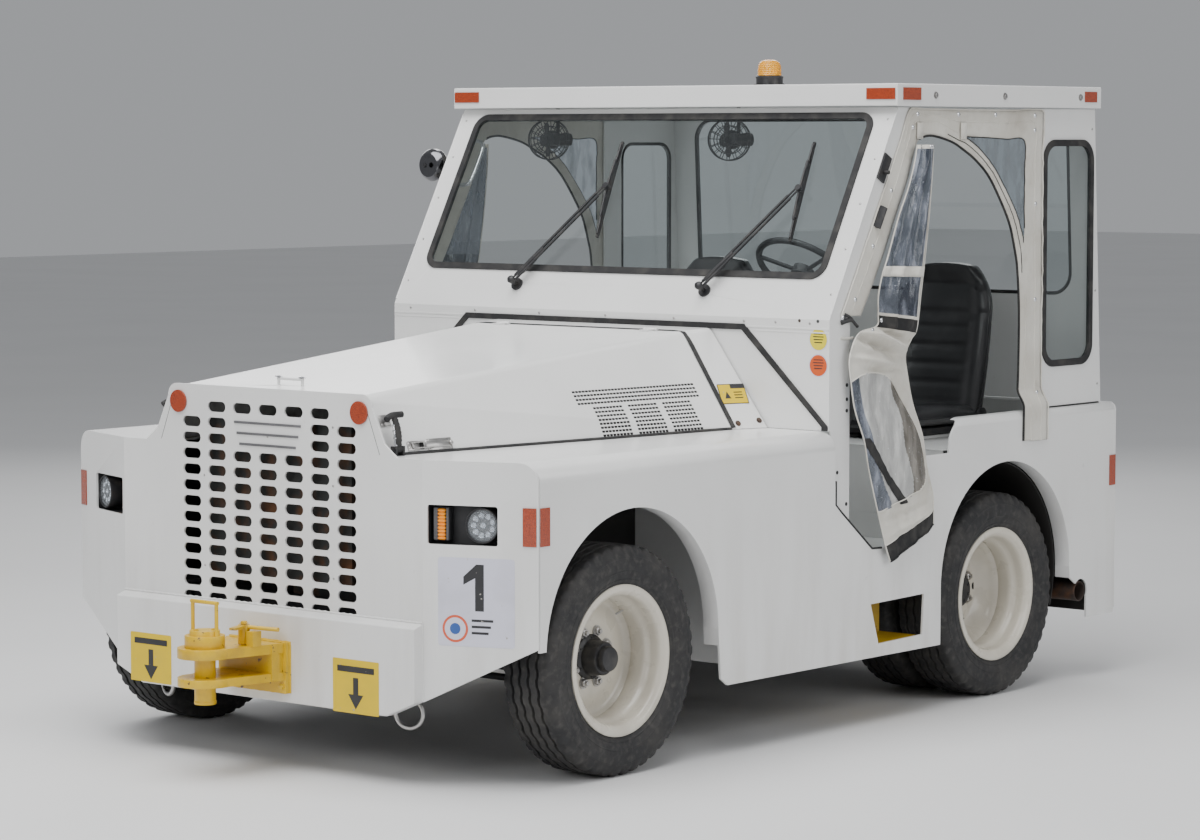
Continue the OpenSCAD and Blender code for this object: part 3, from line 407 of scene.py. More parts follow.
NODE_MATERIALS = {
    CREAM: ["front_shield", "bumper", "side_panel_left", "side_panel_right", "rear_panel",
            "cowl_bridge", "cab_front", "cab_rear", "roof", "hood"],
    WHEEL_HOUSE_SHADED_PAINT: ["inner_structure"],
    FRAME: ["frame_rails", "under_floor_tanks", "front_axle", "rear_axle", "knuckle_left", "knuckle_right",
            "tie_rod"],
    BLACK: ["black_fittings", "wiper_arm_left", "wiper_arm_right", "wiper_blade_left", "wiper_blade_right",
            "brake_pedal", "accelerator_pedal"],
    PLASTIC: ["lamp_pods", "steering_wheel", "horn_button", "gear_lever", "cab_fan_left", "cab_fan_right"],
    GREY: ["dashboard"],
    GLASS: ["cab_glass"],
    RUBBER: ["window_seals", "hood_latch_left", "hood_latch_right"],
    RIM: ["wheel_front_left", "wheel_front_right", "wheels_rear_left", "wheels_rear_right"],
    TYRE: ["tyre_front_left", "tyre_front_right", "tyres_rear_left", "tyres_rear_right"],
    YELLOW: ["hitch_front", "hitch_rear", "hitch_pin_front", "hitch_pin_rear", "hitch_lever", "side_steps"],
    CANVAS: ["door_surrounds", "door_flaps"],
    VINYL: ["driver_seat", "passenger_seat"],
    IRON: ["powertrain"],
    RUST: ["exhaust_pipe"],
    ORANGE: ["reflectors"],
    AMBER: ["beacon_lens"],
    CHROME: ["lamp_lenses"],
    REFLECTION_DARKENED_CHROME: ["mirror_head"],
}
# Edge rounding that the bent and welded plates show, in metres
ROUNDED = {"bumper": 0.004, "front_shield": 0.0015, "hood": 0.003, "cowl_bridge": 0.003, "cab_front": 0.0025,
           "cab_rear": 0.0015, "roof": 0.004, "side_panel_left": 0.0015, "side_panel_right": 0.0015,
           "rear_panel": 0.0015, "hitch_front": 0.0025, "hitch_rear": 0.0025, "hitch_pin_front": 0.002,
           "hitch_pin_rear": 0.002, "hitch_lever": 0.0015, "dashboard": 0.006, "side_steps": 0.001,
           "frame_rails": 0.003, "lamp_pods": 0.001, "reflectors": 0.0008, "beacon_lens": 0.002,
           "inner_structure": 0.001, "powertrain": 0.004}


def finish_node(name, mat):
    node = frame["nodes"][name]
    node.data.materials.clear()
    node.data.materials.append(mat)
    if name in ROUNDED:
        weld = node.modifiers.new("weld", "WELD")
        weld.merge_threshold = 0.00002
        bevel = node.modifiers.new("bevel", "BEVEL")
        bevel.width = ROUNDED[name]
        bevel.segments = 2
        bevel.limit_method = "ANGLE"
        bevel.angle_limit = radians(38)
        bevel.harden_normals = True


for material, names in NODE_MATERIALS.items():
    for name in names:
        finish_node(name, material)


# ---------------- mesh helpers

def piece(name, verts, faces, mat, body, smooth=True):
    """A mesh piece that rides on a CAD body. mat is one material, or materials with each face's index."""
    mesh = bpy.data.meshes.new(name)
    mesh.from_pydata([tuple(v) for v in verts], [], faces)
    mesh.validate()
    obj = bpy.data.objects.new(name, mesh)
    bpy.context.scene.collection.objects.link(obj)
    mats, indices = mat if isinstance(mat, tuple) else ([mat], None)
    for m in mats:
        mesh.materials.append(m)
    for i, poly in enumerate(mesh.polygons):
        poly.use_smooth = smooth
        if indices:
            poly.material_index = indices[i]
    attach(obj, body)
    return obj


def facing(axis):
    """The turn that takes +Z to axis."""
    return V((0, 0, 1)).rotation_difference(V(axis)).to_matrix()


def round_to(radius, i, steps):
    """Step i of a circle."""
    return radius * cos(2 * pi * i / steps), radius * sin(2 * pi * i / steps)


class Shape:
    """Vertices and faces gathered from simple solids, to make one piece of them."""

    def __init__(self):
        self.verts, self.faces, self.mats = [], [], []

    def add(self, verts, faces, mat=0):
        start = len(self.verts)
        self.verts += [V(v) for v in verts]
        self.faces += [[start + i for i in f] for f in faces]
        self.mats += [mat] * len(faces)
        return self

    def rings(self, rings, mat=0, closed=True, caps=True):
        """Skins a list of rings with the same number of points."""
        n = len(rings[0])
        faces = []
        for k in range(len(rings) - 1):
            for i in range(n if closed else n - 1):
                j = (i + 1) % n
                faces.append([k * n + i, k * n + j, (k + 1) * n + j, (k + 1) * n + i])
        if caps:
            faces.append(list(range(n))[::-1])
            faces.append([(len(rings) - 1) * n + i for i in range(n)])
        return self.add([p for r in rings for p in r], faces, mat)

    def lathe(self, profile, at, axis, steps=48, mat=0, caps=True):
        """Turns (radius, height) points about axis, a direction through at."""
        turn = facing(axis)
        rings = [[V(at) + turn @ V((*round_to(r, i, steps), h)) for i in range(steps)] for r, h in profile]
        return self.rings(rings, mat, caps=caps)

    def torus(self, sections, mat=0):
        """Skins closed sections with the same number of points right round, the last to the first."""
        n = len(sections[0])
        count = len(sections)
        faces = [[k * n + i, (k + 1) % count * n + i, (k + 1) % count * n + (i + 1) % n, k * n + (i + 1) % n]
                 for k in range(count) for i in range(n)]
        return self.add([p for section in sections for p in section], faces, mat)

    def turned(self, profile, at, axis, steps=96, mat=0):
        """A closed (radius, height) section turned right round."""
        turn = facing(axis)
        return self.torus([[V(at) + turn @ V((*round_to(r, i, steps), h)) for r, h in profile]
                           for i in range(steps)], mat)

    def bar(self, path, radius, mat=0, steps=10, squeeze=1.0, closed=False):
        """A round bar along a path of points; squeeze flattens it."""
        path = [V(p) for p in path]
        rings, side = [], None
        for i, p in enumerate(path):
            a = path[i - 1] if i or closed else path[i]
            b = path[(i + 1) % len(path)] if i < len(path) - 1 or closed else path[i]
            way = (b - a).normalized()
            if side is None:
                side = way.orthogonal().normalized()
            side = (side - way * side.dot(way)).normalized()
            up = way.cross(side)
            rings.append([p + (side * cos(2 * pi * k / steps)
                               + up * sin(2 * pi * k / steps) * squeeze) * radius
                          for k in range(steps)])
        if closed:
            rings.append(rings[0])
        return self.rings(rings, mat, caps=not closed)

    def block(self, low, high, mat=0, turn=None, at=(0, 0, 0), chamfer=0.0):
        """A box with chamfered long edges, turned about at."""
        (x0, y0, z0), (x1, y1, z1) = low, high
        c = chamfer or min(x1 - x0, y1 - y0, z1 - z0) * 0.12
        rings = []
        for z, d in ((z0, c), (z0 + c, 0), (z1 - c, 0), (z1, c)):
            rings.append([V((x, y, z)) for x, y in (
                (x0 + c + d, y0 + d), (x1 - c - d, y0 + d), (x1 - d, y0 + c + d), (x1 - d, y1 - c - d),
                (x1 - c - d, y1 - d), (x0 + c + d, y1 - d), (x0 + d, y1 - c - d), (x0 + d, y0 + c + d))])
        if turn is not None:
            rings = [[turn @ p + V(at) for p in r] for r in rings]
        return self.rings(rings, mat)

    def bolt(self, at, axis, r=0.009, h=0.006, mat=0):
        """A hexagon head on a washer."""
        self.lathe([(r * 1.35, 0), (r * 1.35, h * 0.25)], at, axis, 20, mat)
        return self.lathe([(r, h * 0.25), (r, h * 0.9), (r * 0.86, h)], at, axis, 6, mat)

    def rivet(self, at, axis, r=0.006, h=0.003, mat=0):
        """A low domed head."""
        dome = [(r, 0), (r * 0.94, h * 0.45), (r * 0.7, h * 0.85), (r * 0.3, h)]
        return self.lathe(dome, at, axis, 14, mat)

    def make(self, name, mats, body="chassis", smooth=True, slot=None, sharp=None):
        """The piece itself, on its body; edges past sharp degrees stay sharp."""
        mats = mats if isinstance(mats, list) else [mats]
        obj = piece(name, self.verts, self.faces, (mats, self.mats), body, smooth)
        if sharp:
            obj.data.set_sharp_from_angle(angle=radians(sharp))
        return obj


def curve(points, steps, closed=False):
    """A smooth Catmull-Rom line through the points."""
    points = [V(p) for p in points]
    n = len(points)
    out = []
    for i in range(n if closed else n - 1):
        a, b, c, d = (points[k % n] if closed else points[min(max(k, 0), n - 1)]
                      for k in (i - 1, i, i + 1, i + 2))
        for k in range(steps):
            t = k / steps
            out.append(0.5 * ((2 * b) + (c - a) * t + (2 * a - 5 * b + 4 * c - d) * t * t
                              + (3 * b - 3 * c + d - a) * t ** 3))
    if not closed:
        out.append(points[-1])
    return out


def grid(rows):
    """Faces of a grid of rows of points."""
    n = len(rows[0])
    faces = [[k * n + i, k * n + i + 1, (k + 1) * n + i + 1, (k + 1) * n + i]
             for k in range(len(rows) - 1) for i in range(n - 1)]
    return [p for row in rows for p in row], faces


def thicken(obj, thickness, offset=0):
    solid = obj.modifiers.new("thickness", "SOLIDIFY")
    solid.thickness = thickness
    solid.offset = offset
    return obj


# ---------------- wheels and tyres

FRONT_TYRE, REAR_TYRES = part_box("tyre_front_left"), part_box("tyres_rear_left")
AXLE_Z = TYRE_R = FRONT_TYRE[1][2] / 2
REAR_Y = 0.5 * (REAR_TYRES[0][1] + REAR_TYRES[1][1])
TYRE_W = FRONT_TYRE[1][0] - FRONT_TYRE[0][0]
FRONT_X = FRONT_TYRE[1][0] - TYRE_W / 2
REAR_OUT_X = REAR_TYRES[1][0] - TYRE_W / 2
REAR_IN_X = REAR_TYRES[0][0] + TYRE_W / 2
HUB_X = (REAR_OUT_X + REAR_IN_X) / 2
LUGS = 46


def sidewall():
    """(width, radius) from the bead to the shoulder, with the moulded ridges."""
    return [(0.080, 0.2265), (0.087, 0.2330), (0.0885, 0.2500), (0.0965, 0.2620), (0.0990, 0.2640),
            (0.1000, 0.2680), (0.0990, 0.2700), (0.1030, 0.2790), (0.1056, 0.2920), (0.1066, 0.2930),
            (0.1068, 0.2960), (0.1060, 0.2970), (0.1070, 0.3080), (0.1068, 0.3240), (0.1056, 0.3360),
            (0.1062, 0.3370), (0.1052, 0.3430), (0.1040, 0.3440), (0.1010, 0.3560), (0.0975, 0.3650),
            (0.0940, 0.3720), (0.0890, 0.3775), (0.0830, 0.3805)]


def tread():
    """(width, radius) across the tread, which has four grooves."""
    points = []
    for c in (-0.054, -0.018, 0.018, 0.054):
        for w, depth in ((-0.0055, 0), (-0.0030, 0.0105), (0.0030, 0.0105), (0.0055, 0)):
            points.append((c + w, TYRE_R - 0.0002 - 0.0016 * (c / 0.054) ** 2 - depth))
    return points


def tyre_shape(shape, x, out):
    """One tyre in the plane x; out is 1 where its outer face looks to +X."""
    side = sidewall()
    profile = [(-w, r) for w, r in side] + tread() + [(w, r) for w, r in side[::-1]]
    steps = LUGS * 5
    rings = []
    for i in range(steps):
        a = 2 * pi * i / steps
        zigzag = 0.0026 * (1 if (i // 3) % 2 else -1)
        ring = []
        for w, r in profile:
            if abs(w) < 0.065:
                w += zigzag
            elif r > TYRE_R - 0.030 and i % 5 in (0, 1):
                r -= 0.0065 * min(1, (r - TYRE_R + 0.030) / 0.012)
            ring.append(V((x + out * w, 0, AXLE_Z)) + V((0, sin(a), cos(a))) * r)
        rings.append(ring)
    shape.torus(rings)


def rim_profile():
    """(radius, height) round the section of a rim barrel, with rolled flanges and a drop centre."""
    h = 0.095
    inside = [(0.2315, h), (0.2270, h - 0.004), (0.2190, h - 0.010), (0.2145, h - 0.017), (0.2125, h - 0.030),
              (0.2120, 0.050), (0.2105, 0.042), (0.2040, 0.032), (0.1990, 0.025), (0.1980, 0.010),
              (0.1980, -0.020), (0.2010, -0.032), (0.2090, -0.042), (0.2120, -0.052), (0.2130, -h + 0.022),
              (0.2190, -h + 0.010), (0.2315, -h)]
    outside = [(0.2465, -h), (0.2505, -h + 0.002), (0.2510, -h + 0.006), (0.2470, -h + 0.0085),
               (0.2330, -h + 0.010), (0.2250, -h + 0.015), (0.2240, -0.045), (0.2080, -0.031),
               (0.2080, 0.021), (0.2240, 0.041), (0.2250, h - 0.015), (0.2330, h - 0.010),
               (0.2470, h - 0.0085), (0.2510, h - 0.006), (0.2505, h - 0.002), (0.2465, h)]
    return inside + outside


def around(count, radius, at):
    """Places on a circle in a plane across X."""
    for i in range(count):
        a = 2 * pi * (i + 0.5) / count
        yield V(at) + V((0, cos(a), sin(a))) * radius


def front_wheel(side, s):
    body = "front_wheel_" + side
    at, out = V((s * FRONT_X, 0, AXLE_Z)), V((s, 0, 0))
    tyre = Shape()
    tyre_shape(tyre, s * FRONT_X, s)
    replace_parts(tyre.make("tyre_front_" + side + "_tread", TYRE, body, slot="tyre_rubber", sharp=30),
                "tyre_front_" + side)
    rim = Shape()
    rim.turned(rim_profile(), at, out)
    disc = 0.896 - FRONT_X
    rim.turned([(0.0755, disc - 0.010), (0.0755, disc), (0.118, disc), (0.135, disc - 0.002),
                (0.160, disc - 0.009), (0.185, disc - 0.012), (0.197, disc - 0.006), (0.2035, disc + 0.012),
                (0.2125, disc + 0.022), (0.2125, disc + 0.006), (0.205, disc - 0.010), (0.192, disc - 0.021),
                (0.160, disc - 0.021), (0.118, disc - 0.010)], at, out)
    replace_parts(rim.make("rim_front_" + side, RIM, body, slot="wheel_paint", sharp=50), "wheel_front_" + side)
    hub = Shape()
    face = at + out * disc
    hub.lathe([(0.0750, -0.030), (0.0750, 0.004), (0.0715, 0.008), (0.0640, 0.010), (0.0600, 0.014),
               (0.0590, 0.036), (0.0565, 0.040), (0.0560, 0.062), (0.0520, 0.067), (0.0430, 0.068),
               (0.0425, 0.084), (0.0390, 0.090), (0.0250, 0.0935), (0.0, 0.094)], face, out, 64)
    for p in around(6, 0.066, face + out * 0.0095):
        hub.rivet(p, out, 0.004, 0.003)
    hub.make("hub_front_" + side, BLACK, body, slot="black_metal", sharp=40)
    nuts = Shape()
    for p in around(8, 0.090, face):
        nuts.lathe([(0.0165, 0), (0.0165, 0.002), (0.0150, 0.003)], p, out, 20)
        nuts.bolt(p, out, 0.0145, 0.0155)
        nuts.lathe([(0.0078, 0.010), (0.0078, 0.0205), (0.0068, 0.0220)], p, out, 16)
    nuts.bar([face + V((s * 0.012, 0.12, 0.13)), face + V((s * 0.030, 0.14, 0.145)),
              face + V((s * 0.052, 0.145, 0.150))], 0.004, steps=8)
    nuts.make("nuts_front_" + side, STEEL, body, sharp=40)
    brake = Shape()
    brake.lathe([(0.150, -0.075), (0.162, -0.070), (0.165, -0.020), (0.150, -0.014)], face, out, 64)
    brake.make("drum_front_" + side, IRON, body, sharp=40)


def rear_wheels(side, s):
    body = "rear_wheels_" + side
    out = V((s, 0, 0))
    tyres = Shape()
    for x, way in ((REAR_OUT_X, s), (REAR_IN_X, -s)):
        tyre_shape(tyres, s * x, way)
    for i, v in enumerate(tyres.verts):
        tyres.verts[i] = v + V((0, REAR_Y, 0))
    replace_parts(tyres.make("tyres_rear_" + side + "_tread", TYRE, body, slot="tyre_rubber", sharp=30),
                "tyres_rear_" + side)
    rims = Shape()
    deep = HUB_X - REAR_OUT_X
    for x, way in ((REAR_OUT_X, out), (REAR_IN_X, -out)):
        at = V((s * x, REAR_Y, AXLE_Z))
        rims.turned(rim_profile(), at, way)
        rims.turned([(0.070, deep + 0.0002), (0.070, deep + 0.012), (0.140, deep + 0.012),
                     (0.158, deep + 0.018), (0.186, -0.050), (0.194, -0.036), (0.2015, -0.028),
                     (0.2085, -0.036), (0.204, -0.052), (0.196, -0.062), (0.168, deep + 0.012),
                     (0.148, deep + 0.0002)], at, way)
    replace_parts(rims.make("rims_rear_" + side, RIM, body, slot="wheel_paint", sharp=50),
                "wheels_rear_" + side)
    face = V((s * (HUB_X + 0.0125), REAR_Y, AXLE_Z))
    hub = Shape()
    hub.lathe([(0.0695, -0.16), (0.0695, 0.005), (0.0640, 0.010), (0.0620, 0.040), (0.0560, 0.046),
               (0.0400, 0.048), (0.0, 0.049)], face, out, 48)
    for p in around(8, 0.044, face + out * 0.0465):
        hub.bolt(p, out, 0.006, 0.005)
    hub.make("hub_rear_" + side, FRAME, body, slot="frame_paint", sharp=40)
    nuts = Shape()
    for p in around(8, 0.110, face):
        nuts.bolt(p, out, 0.0150, 0.0150)
        nuts.lathe([(0.0078, 0.010), (0.0078, 0.0205), (0.0068, 0.0220)], p, out, 16)
    nuts.make("nuts_rear_" + side, STEEL, body, sharp=40)
    # near black discs for the hand holes: painted shade where the holes would be
    dark = Shape()
    for a in range(0, 360, 60):
        place = V((0, cos(radians(a)), sin(radians(a)))) * 0.150
        dark.lathe([(0.0155, 0.0003), (0.0140, 0.0010), (0.0, 0.0012)],
                   face + place - out * 0.0005 + out * 0.001, out, 24)
    dark.make("hand_holes_" + side, GAP_SHADE, body, sharp=40)


for side_name, sign in (("left", 1), ("right", -1)):
    front_wheel(side_name, sign)
    rear_wheels(side_name, sign)


# ---------------- nose, lamps and decals

NOSE_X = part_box("bumper")[1][0]
NOSE_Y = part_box("front_shield")[0][1]
BUMPER_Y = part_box("bumper")[0][1]
SIDE_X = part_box("side_panel_left")[1][0]
SWEEP = atan2(0.137, SIDE_X - NOSE_X)
WALL_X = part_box("cab_rear")[1][0]
CAB_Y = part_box("cab_front")[0][1]
TAIL_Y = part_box("rear_panel")[1][1]
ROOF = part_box("roof")


def on_sweep(s, u, depth, z):
    """A point on the swept nose panel: u along it from the nose's corner, and depth behind its face."""
    return V((s * (NOSE_X + u * cos(SWEEP) - depth * sin(SWEEP)),
              NOSE_Y + u * sin(SWEEP) + depth * cos(SWEEP), z))


def sweep_normal(s):
    return V((s * sin(SWEEP), -cos(SWEEP), 0))


def patch(shape, center, right, up, w, h, mat=0, r=0.006, thick=0.0006):
    """A thin film with round corners; right and up are unit vectors in its face."""
    center, right, up = V(center), V(right).normalized(), V(up).normalized()
    normal = right.cross(up)
    ring = []
    for cx, cz, a0 in ((1, 1, 0), (-1, 1, 90), (-1, -1, 180), (1, -1, 270)):
        for k in range(5):
            a = radians(a0 + 22.5 * k)
            ring.append((cx * (w / 2 - r) + r * cos(a), cz * (h / 2 - r) + r * sin(a)))
    rings = [[center + right * x + up * z + normal * d for x, z in ring] for d in (0, thick * 0.7)]
    rings.append([center + right * x * 0.997 + up * z * 0.997 + normal * thick for x, z in ring])
    shape.rings(rings, mat)


def figure(shape, center, right, up, outline, mat=0, lift=0.0007, thick=0.0003):
    """A flat shape on a film, from (across, up) points."""
    center, right, up = V(center), V(right).normalized(), V(up).normalized()
    normal = right.cross(up)
    rings = [[center + right * x + up * z + normal * d for x, z in outline] for d in (lift, lift + thick)]
    shape.rings(rings, mat)


def stripe(shape, center, right, up, x0, x1, z, height, mat, lift=0.0007):
    """A level bar on a film."""
    figure(shape, center, right, up, [(x0, z), (x1, z), (x1, z + height), (x0, z + height)], mat, lift)


def disc_outline(r, steps=40, at=(0, 0)):
    return [tuple(V(at) + V(round_to(r, i, steps))) for i in range(steps)]


ARROW = [(-0.011, 0.055), (-0.011, 0.0), (-0.032, 0.0), (0.0, -0.048), (0.032, 0.0), (0.011, 0.0),
         (0.011, 0.055)]
YELLOW_FILM = decal("yellow_film", (0.70, 0.49, 0.002))
PALE_FILM = decal("pale_film", (0.62, 0.62, 0.72))
BLACK_FILM = decal("black_film", (0.02, 0.02, 0.022))
RED_FILM = decal("red_film", (0.65, 0.10, 0.04))
BLUE_FILM = decal("blue_film", (0.03, 0.09, 0.32))
ORANGE_FILM = decal("orange_film", (0.62, 0.085, 0.004))
LEMON_FILM = decal("lemon_film", (0.72, 0.60, 0.02))


def bumper_films():
    films = Shape()
    for x, z, w, h in ((-0.525, 0.318, 0.200, 0.168), (0.437, 0.312, 0.205, 0.176)):
        at = V((x, BUMPER_Y - 0.0002, z))
        patch(films, at, (1, 0, 0), (0, 0, 1), w, h, 0, 0.004)
        figure(films, at + V((0, 0, -0.026)), (1, 0, 0), (0, 0, 1), [(a * 1.05, b) for a, b in ARROW], 1)
        stripe(films, at, (1, 0, 0), (0, 0, 1), -w * 0.40, w * 0.40, 0.046, 0.020, 1)
    films.make("bumper_films", [YELLOW_FILM, BLACK_FILM], smooth=False)


def number_film():
    films = Shape()
    right, up = V((cos(SWEEP), sin(SWEEP), 0)), V((0, 0, 1))
    at = on_sweep(1, 0.184, -0.0002, 0.612)
    patch(films, at, right, up, 0.262, 0.285, 0, 0.010)
    one = [(0.000, 0.122), (0.026, 0.122), (0.026, -0.028), (-0.004, -0.028), (-0.004, 0.078),
           (-0.044, 0.056), (-0.044, 0.082)]
    figure(films, at, right, up, one, 1)
    for radius, mat, lift in ((0.044, 2, 0.0007), (0.036, 0, 0.0011), (0.018, 3, 0.0015)):
        figure(films, at, right, up, disc_outline(radius, 40, (-0.072, -0.086)), mat, lift)
    for k in range(3):
        stripe(films, at, right, up, -0.016, 0.058 - 0.008 * k, -0.062 - 0.020 * k, 0.008, 1)
    films.make("number_film", [PALE_FILM, BLACK_FILM, RED_FILM, BLUE_FILM], smooth=False)


def cab_films():
    films = Shape()
    right, up = V((1, 0, 0)), V((0, 0, 1))
    for z, mat in ((1.383, 0), (1.292, 1)):
        at = V((0.988, CAB_Y - 0.0002, z))
        figure(films, at, right, up, disc_outline(0.0405), 2, 0.0, 0.0005)
        figure(films, at, right, up, disc_outline(0.0370), mat, 0.0005, 0.0003)
        for k in range(4):
            half = 0.023 - 0.003 * abs(k - 1)
            stripe(films, at, right, up, -half, half, 0.018 - 0.010 * k, 0.0035, 3, 0.0009)
    films.make("cab_films", [LEMON_FILM, ORANGE_FILM, PALE_FILM, BLACK_FILM], smooth=False)


def round_lamp(s):
    """A round lamp: black bowl and rim, ribbed lens, and ten bright reflector cups."""
    at = on_sweep(s, 0.200, 0.010, 0.857)
    out = sweep_normal(s)
    body = Shape()
    body.lathe([(0.0565, -0.055), (0.0575, -0.002), (0.0560, 0.001), (0.0520, 0.0005), (0.0515, -0.010),
                (0.0505, -0.016)], at, out, 56, caps=True)
    turn = facing(out)
    spots = [(0, 0)] + [round_to(0.032, i, 9) for i in range(9)]
    for x, z in spots:
        c = at + turn @ V((x, z, 0))
        body.lathe([(0.0098, -0.012), (0.0098, -0.0085), (0.0070, -0.012), (0.0035, -0.0145),
                    (0.0030, -0.0105), (0.0, -0.0100)], c, out, 18, 1)
    name = side_of(s)
    made = body.make("lamp_bowl_" + name, [BLACK, CHROME], sharp=40)
    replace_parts(made, "lamp_lenses")
    lens = Shape()
    lens.lathe([(0.0512, -0.0075), (0.0512, -0.0035), (0.0440, -0.0012), (0.0250, 0.0012), (0.0, 0.0020)], at,
               out, 56)
    lens.make("lamp_lens_" + name, LENS, slot="lamp_lens", sharp=60)


def turn_signal(s):
    """A rectangular lamp: grey bowl, bright side vanes and a ribbed amber lens."""
    out, z0, z1 = sweep_normal(s), 0.800, 0.914
    right = V((s * cos(SWEEP), sin(SWEEP), 0))
    turn = Matrix((right, -out, V((0, 0, 1)))).transposed()
    at = on_sweep(s, 0.053, 0, 0)
    name = side_of(s)
    bowl = Shape()
    bowl.block((-0.027, 0.034, z0), (0.027, 0.068, z1), 0, turn, at, 0.004)
    for x0, x1 in ((-0.026, -0.010), (0.017, 0.026)):
        bowl.block((x0, 0.026, z0 + 0.004), (x1, 0.034, z1 - 0.004), 1, turn, at, 0.002)
    bowl.make("signal_bowl_" + name, [PLASTIC, GREY], sharp=35)
    lens = Shape()
    for k in range(9):
        z = z0 + 0.006 + k * 0.0112
        lens.block((-0.010, 0.020, z), (0.016, 0.034, z + 0.0105), 0, turn, at, 0.003)
    lens.make("signal_lens_" + name, GLOWING_AMBER, sharp=35)


def lens_glass():
    m = Material("lamp_glass", (0.8, 0.83, 0.86), 0.05)
    m.bump(m.cells(240), 0.001, 0.35)
    m.see_through(m.span(m.cells(240), 0, 1, 0.05, 0.20), (0.88, 0.9, 0.92))
    return m.mat


def glowing_amber():
    m = Material("signal_amber", (0.95, 0.34, 0.01), 0.15, Coat_Weight=0.6)
    m.clouds(60, 3, 0.4, 0.7, (0.90, 0.24, 0.01))
    m.set("Emission Color", (1.0, 0.36, 0.02, 1))
    m.set("Emission Strength", 0.12)
    return m.mat


LENS = lens_glass()
GLOWING_AMBER = glowing_amber()
bumper_films()
number_film()
cab_films()
for sign in (1, -1):
    round_lamp(sign)
    turn_signal(sign)


# ---------------- hood, cowl and their hardware

trees = {}


def surface(node, start, way):
    """Where a ray first meets a CAD node: the point, and the normal turned against the ray."""
    if node not in trees:
        mesh = frame["nodes"][node].data
        trees[node] = BVHTree.FromPolygons([v.co.copy() for v in mesh.vertices],
                                           [tuple(p.vertices) for p in mesh.polygons])
    point, normal = trees[node].ray_cast(V(start), V(way).normalized())[:2]
    return point, normal if normal.dot(V(way)) < 0 else -normal


def flank(node, s, y, z):
    """A point on the slanted side of the hood or the cowl, with its normal."""
    return surface(node, (s * 1.3, y, z), (-s, 0, 0))


def flank_axes(node, s, y, z):
    """The same point, with the directions along the flank, up it and out of it."""
    at, normal = flank(node, s, y, z)
    along = (flank(node, s, y + 0.01, z)[0] - at).normalized()
    up = normal.cross(along)
    return at, along, (up if up.z > 0 else -up), normal


SLIT_PITCH = 0.0156          # from slit to slit along a row
SLIT_RISE = 0.013            # from row to row
SLIT_HALF = (0.0064, 0.0040)
DECK_TOP = 1.068             # where the hood's foot stands
# (height, start, end) of each row
SLIT_BAND = [(1.222 - SLIT_RISE * k, 0.334, 0.912) for k in range(4)]
SLIT_PANELS = [(1.166 - SLIT_RISE * k, y, y + 0.127) for k in range(8) for y in (0.395, 0.562, 0.729)]


def hood_slits(s):
    """A field of short pressed slits: a long band, and three panels under it."""
    slits = Shape()
    for z, y0, y1 in SLIT_BAND + SLIT_PANELS:
        for k in range(int((y1 - y0) / SLIT_PITCH) + 1):
            at, along, up, n = flank_axes("hood", s, y0 + SLIT_PITCH * k, z)
            ring = [at + along * (SLIT_HALF[0] * x) + up * (SLIT_HALF[1] * h)
                    for x, h in ((1, -0.5), (0.8, -1), (-0.8, -1), (-1, -0.5), (-1, 0.5), (-0.8, 1), (0.8, 1),
                                 (1, 0.5))]
            # a near black film over the slit's opening: painted shade of the hole
            slits.rings([ring, [p + n * 0.0004 for p in ring]], 1)
            slits.bar([at + along * 0.0062 + up * 0.0044, at - along * 0.0062 + up * 0.0044], 0.0011, 0, 5)
    slits.make("hood_slits_" + side_of(s), [CREAM, GAP_SHADE], "hood")


def edge_strip(name, path, width, height):
    """A rubber strip with a rounded back along a path of (point, normal)."""
    strip = Shape()
    rings = []
    for i, (p, n) in enumerate(path):
        way = (path[min(i + 1, len(path) - 1)][0] - path[max(i - 1, 0)][0]).normalized()
        side = way.cross(n).normalized()
        rings.append([p + side * (width / 2 * cos(t)) + n * (height * max(sin(t), 0) - 0.001 * (sin(t) < 0))
                      for t in (2 * pi * k / 12 for k in range(12))])
    strip.rings(rings)
    strip.make(name, RUBBER, sharp=50)


def arch_path(node, y, shift=0.0, steps=64):
    """Points over a node in one plane across Y, from its left foot over to its right foot."""
    path = []
    for k in range(steps + 1):
        a = pi * k / steps
        start = V((cos(a) * 1.6, y, DECK_TOP + sin(a) * 1.6))
        p, n = surface(node, start, V((0, y, DECK_TOP)) - start)
        path.append((p + V((0, shift, 0)), n))
    return path


def hood_seals():
    """The black strips in the hood's joints with the fenders, the nose and the cowl."""
    for s, name in ((1, "left"), (-1, "right")):
        path = []
        for k in range(41):
            y = -0.578 + 1.568 * k / 40
            foot = flank("hood", s, y, DECK_TOP)[0]
            deck = surface("side_panel_" + name, (foot.x + s * 0.004, y, 2), (0, 0, -1))
            path.append((V((foot.x + s * 0.0040, y, deck[0].z)), V((0, 0, 1))))
        edge_strip("hood_foot_seal_" + name, path, 0.014, 0.0095)
        nose = [flank("hood", s, -0.5785, DECK_TOP + 0.150 * k / 16) for k in range(17)]
        edge_strip("hood_nose_seal_" + name, [(p - V((0, 0.0060, 0)), n) for p, n in nose], 0.012, 0.004)
    edge_strip("cowl_seal", arch_path("cowl_bridge", 1.008, -0.0020), 0.019, 0.0036)


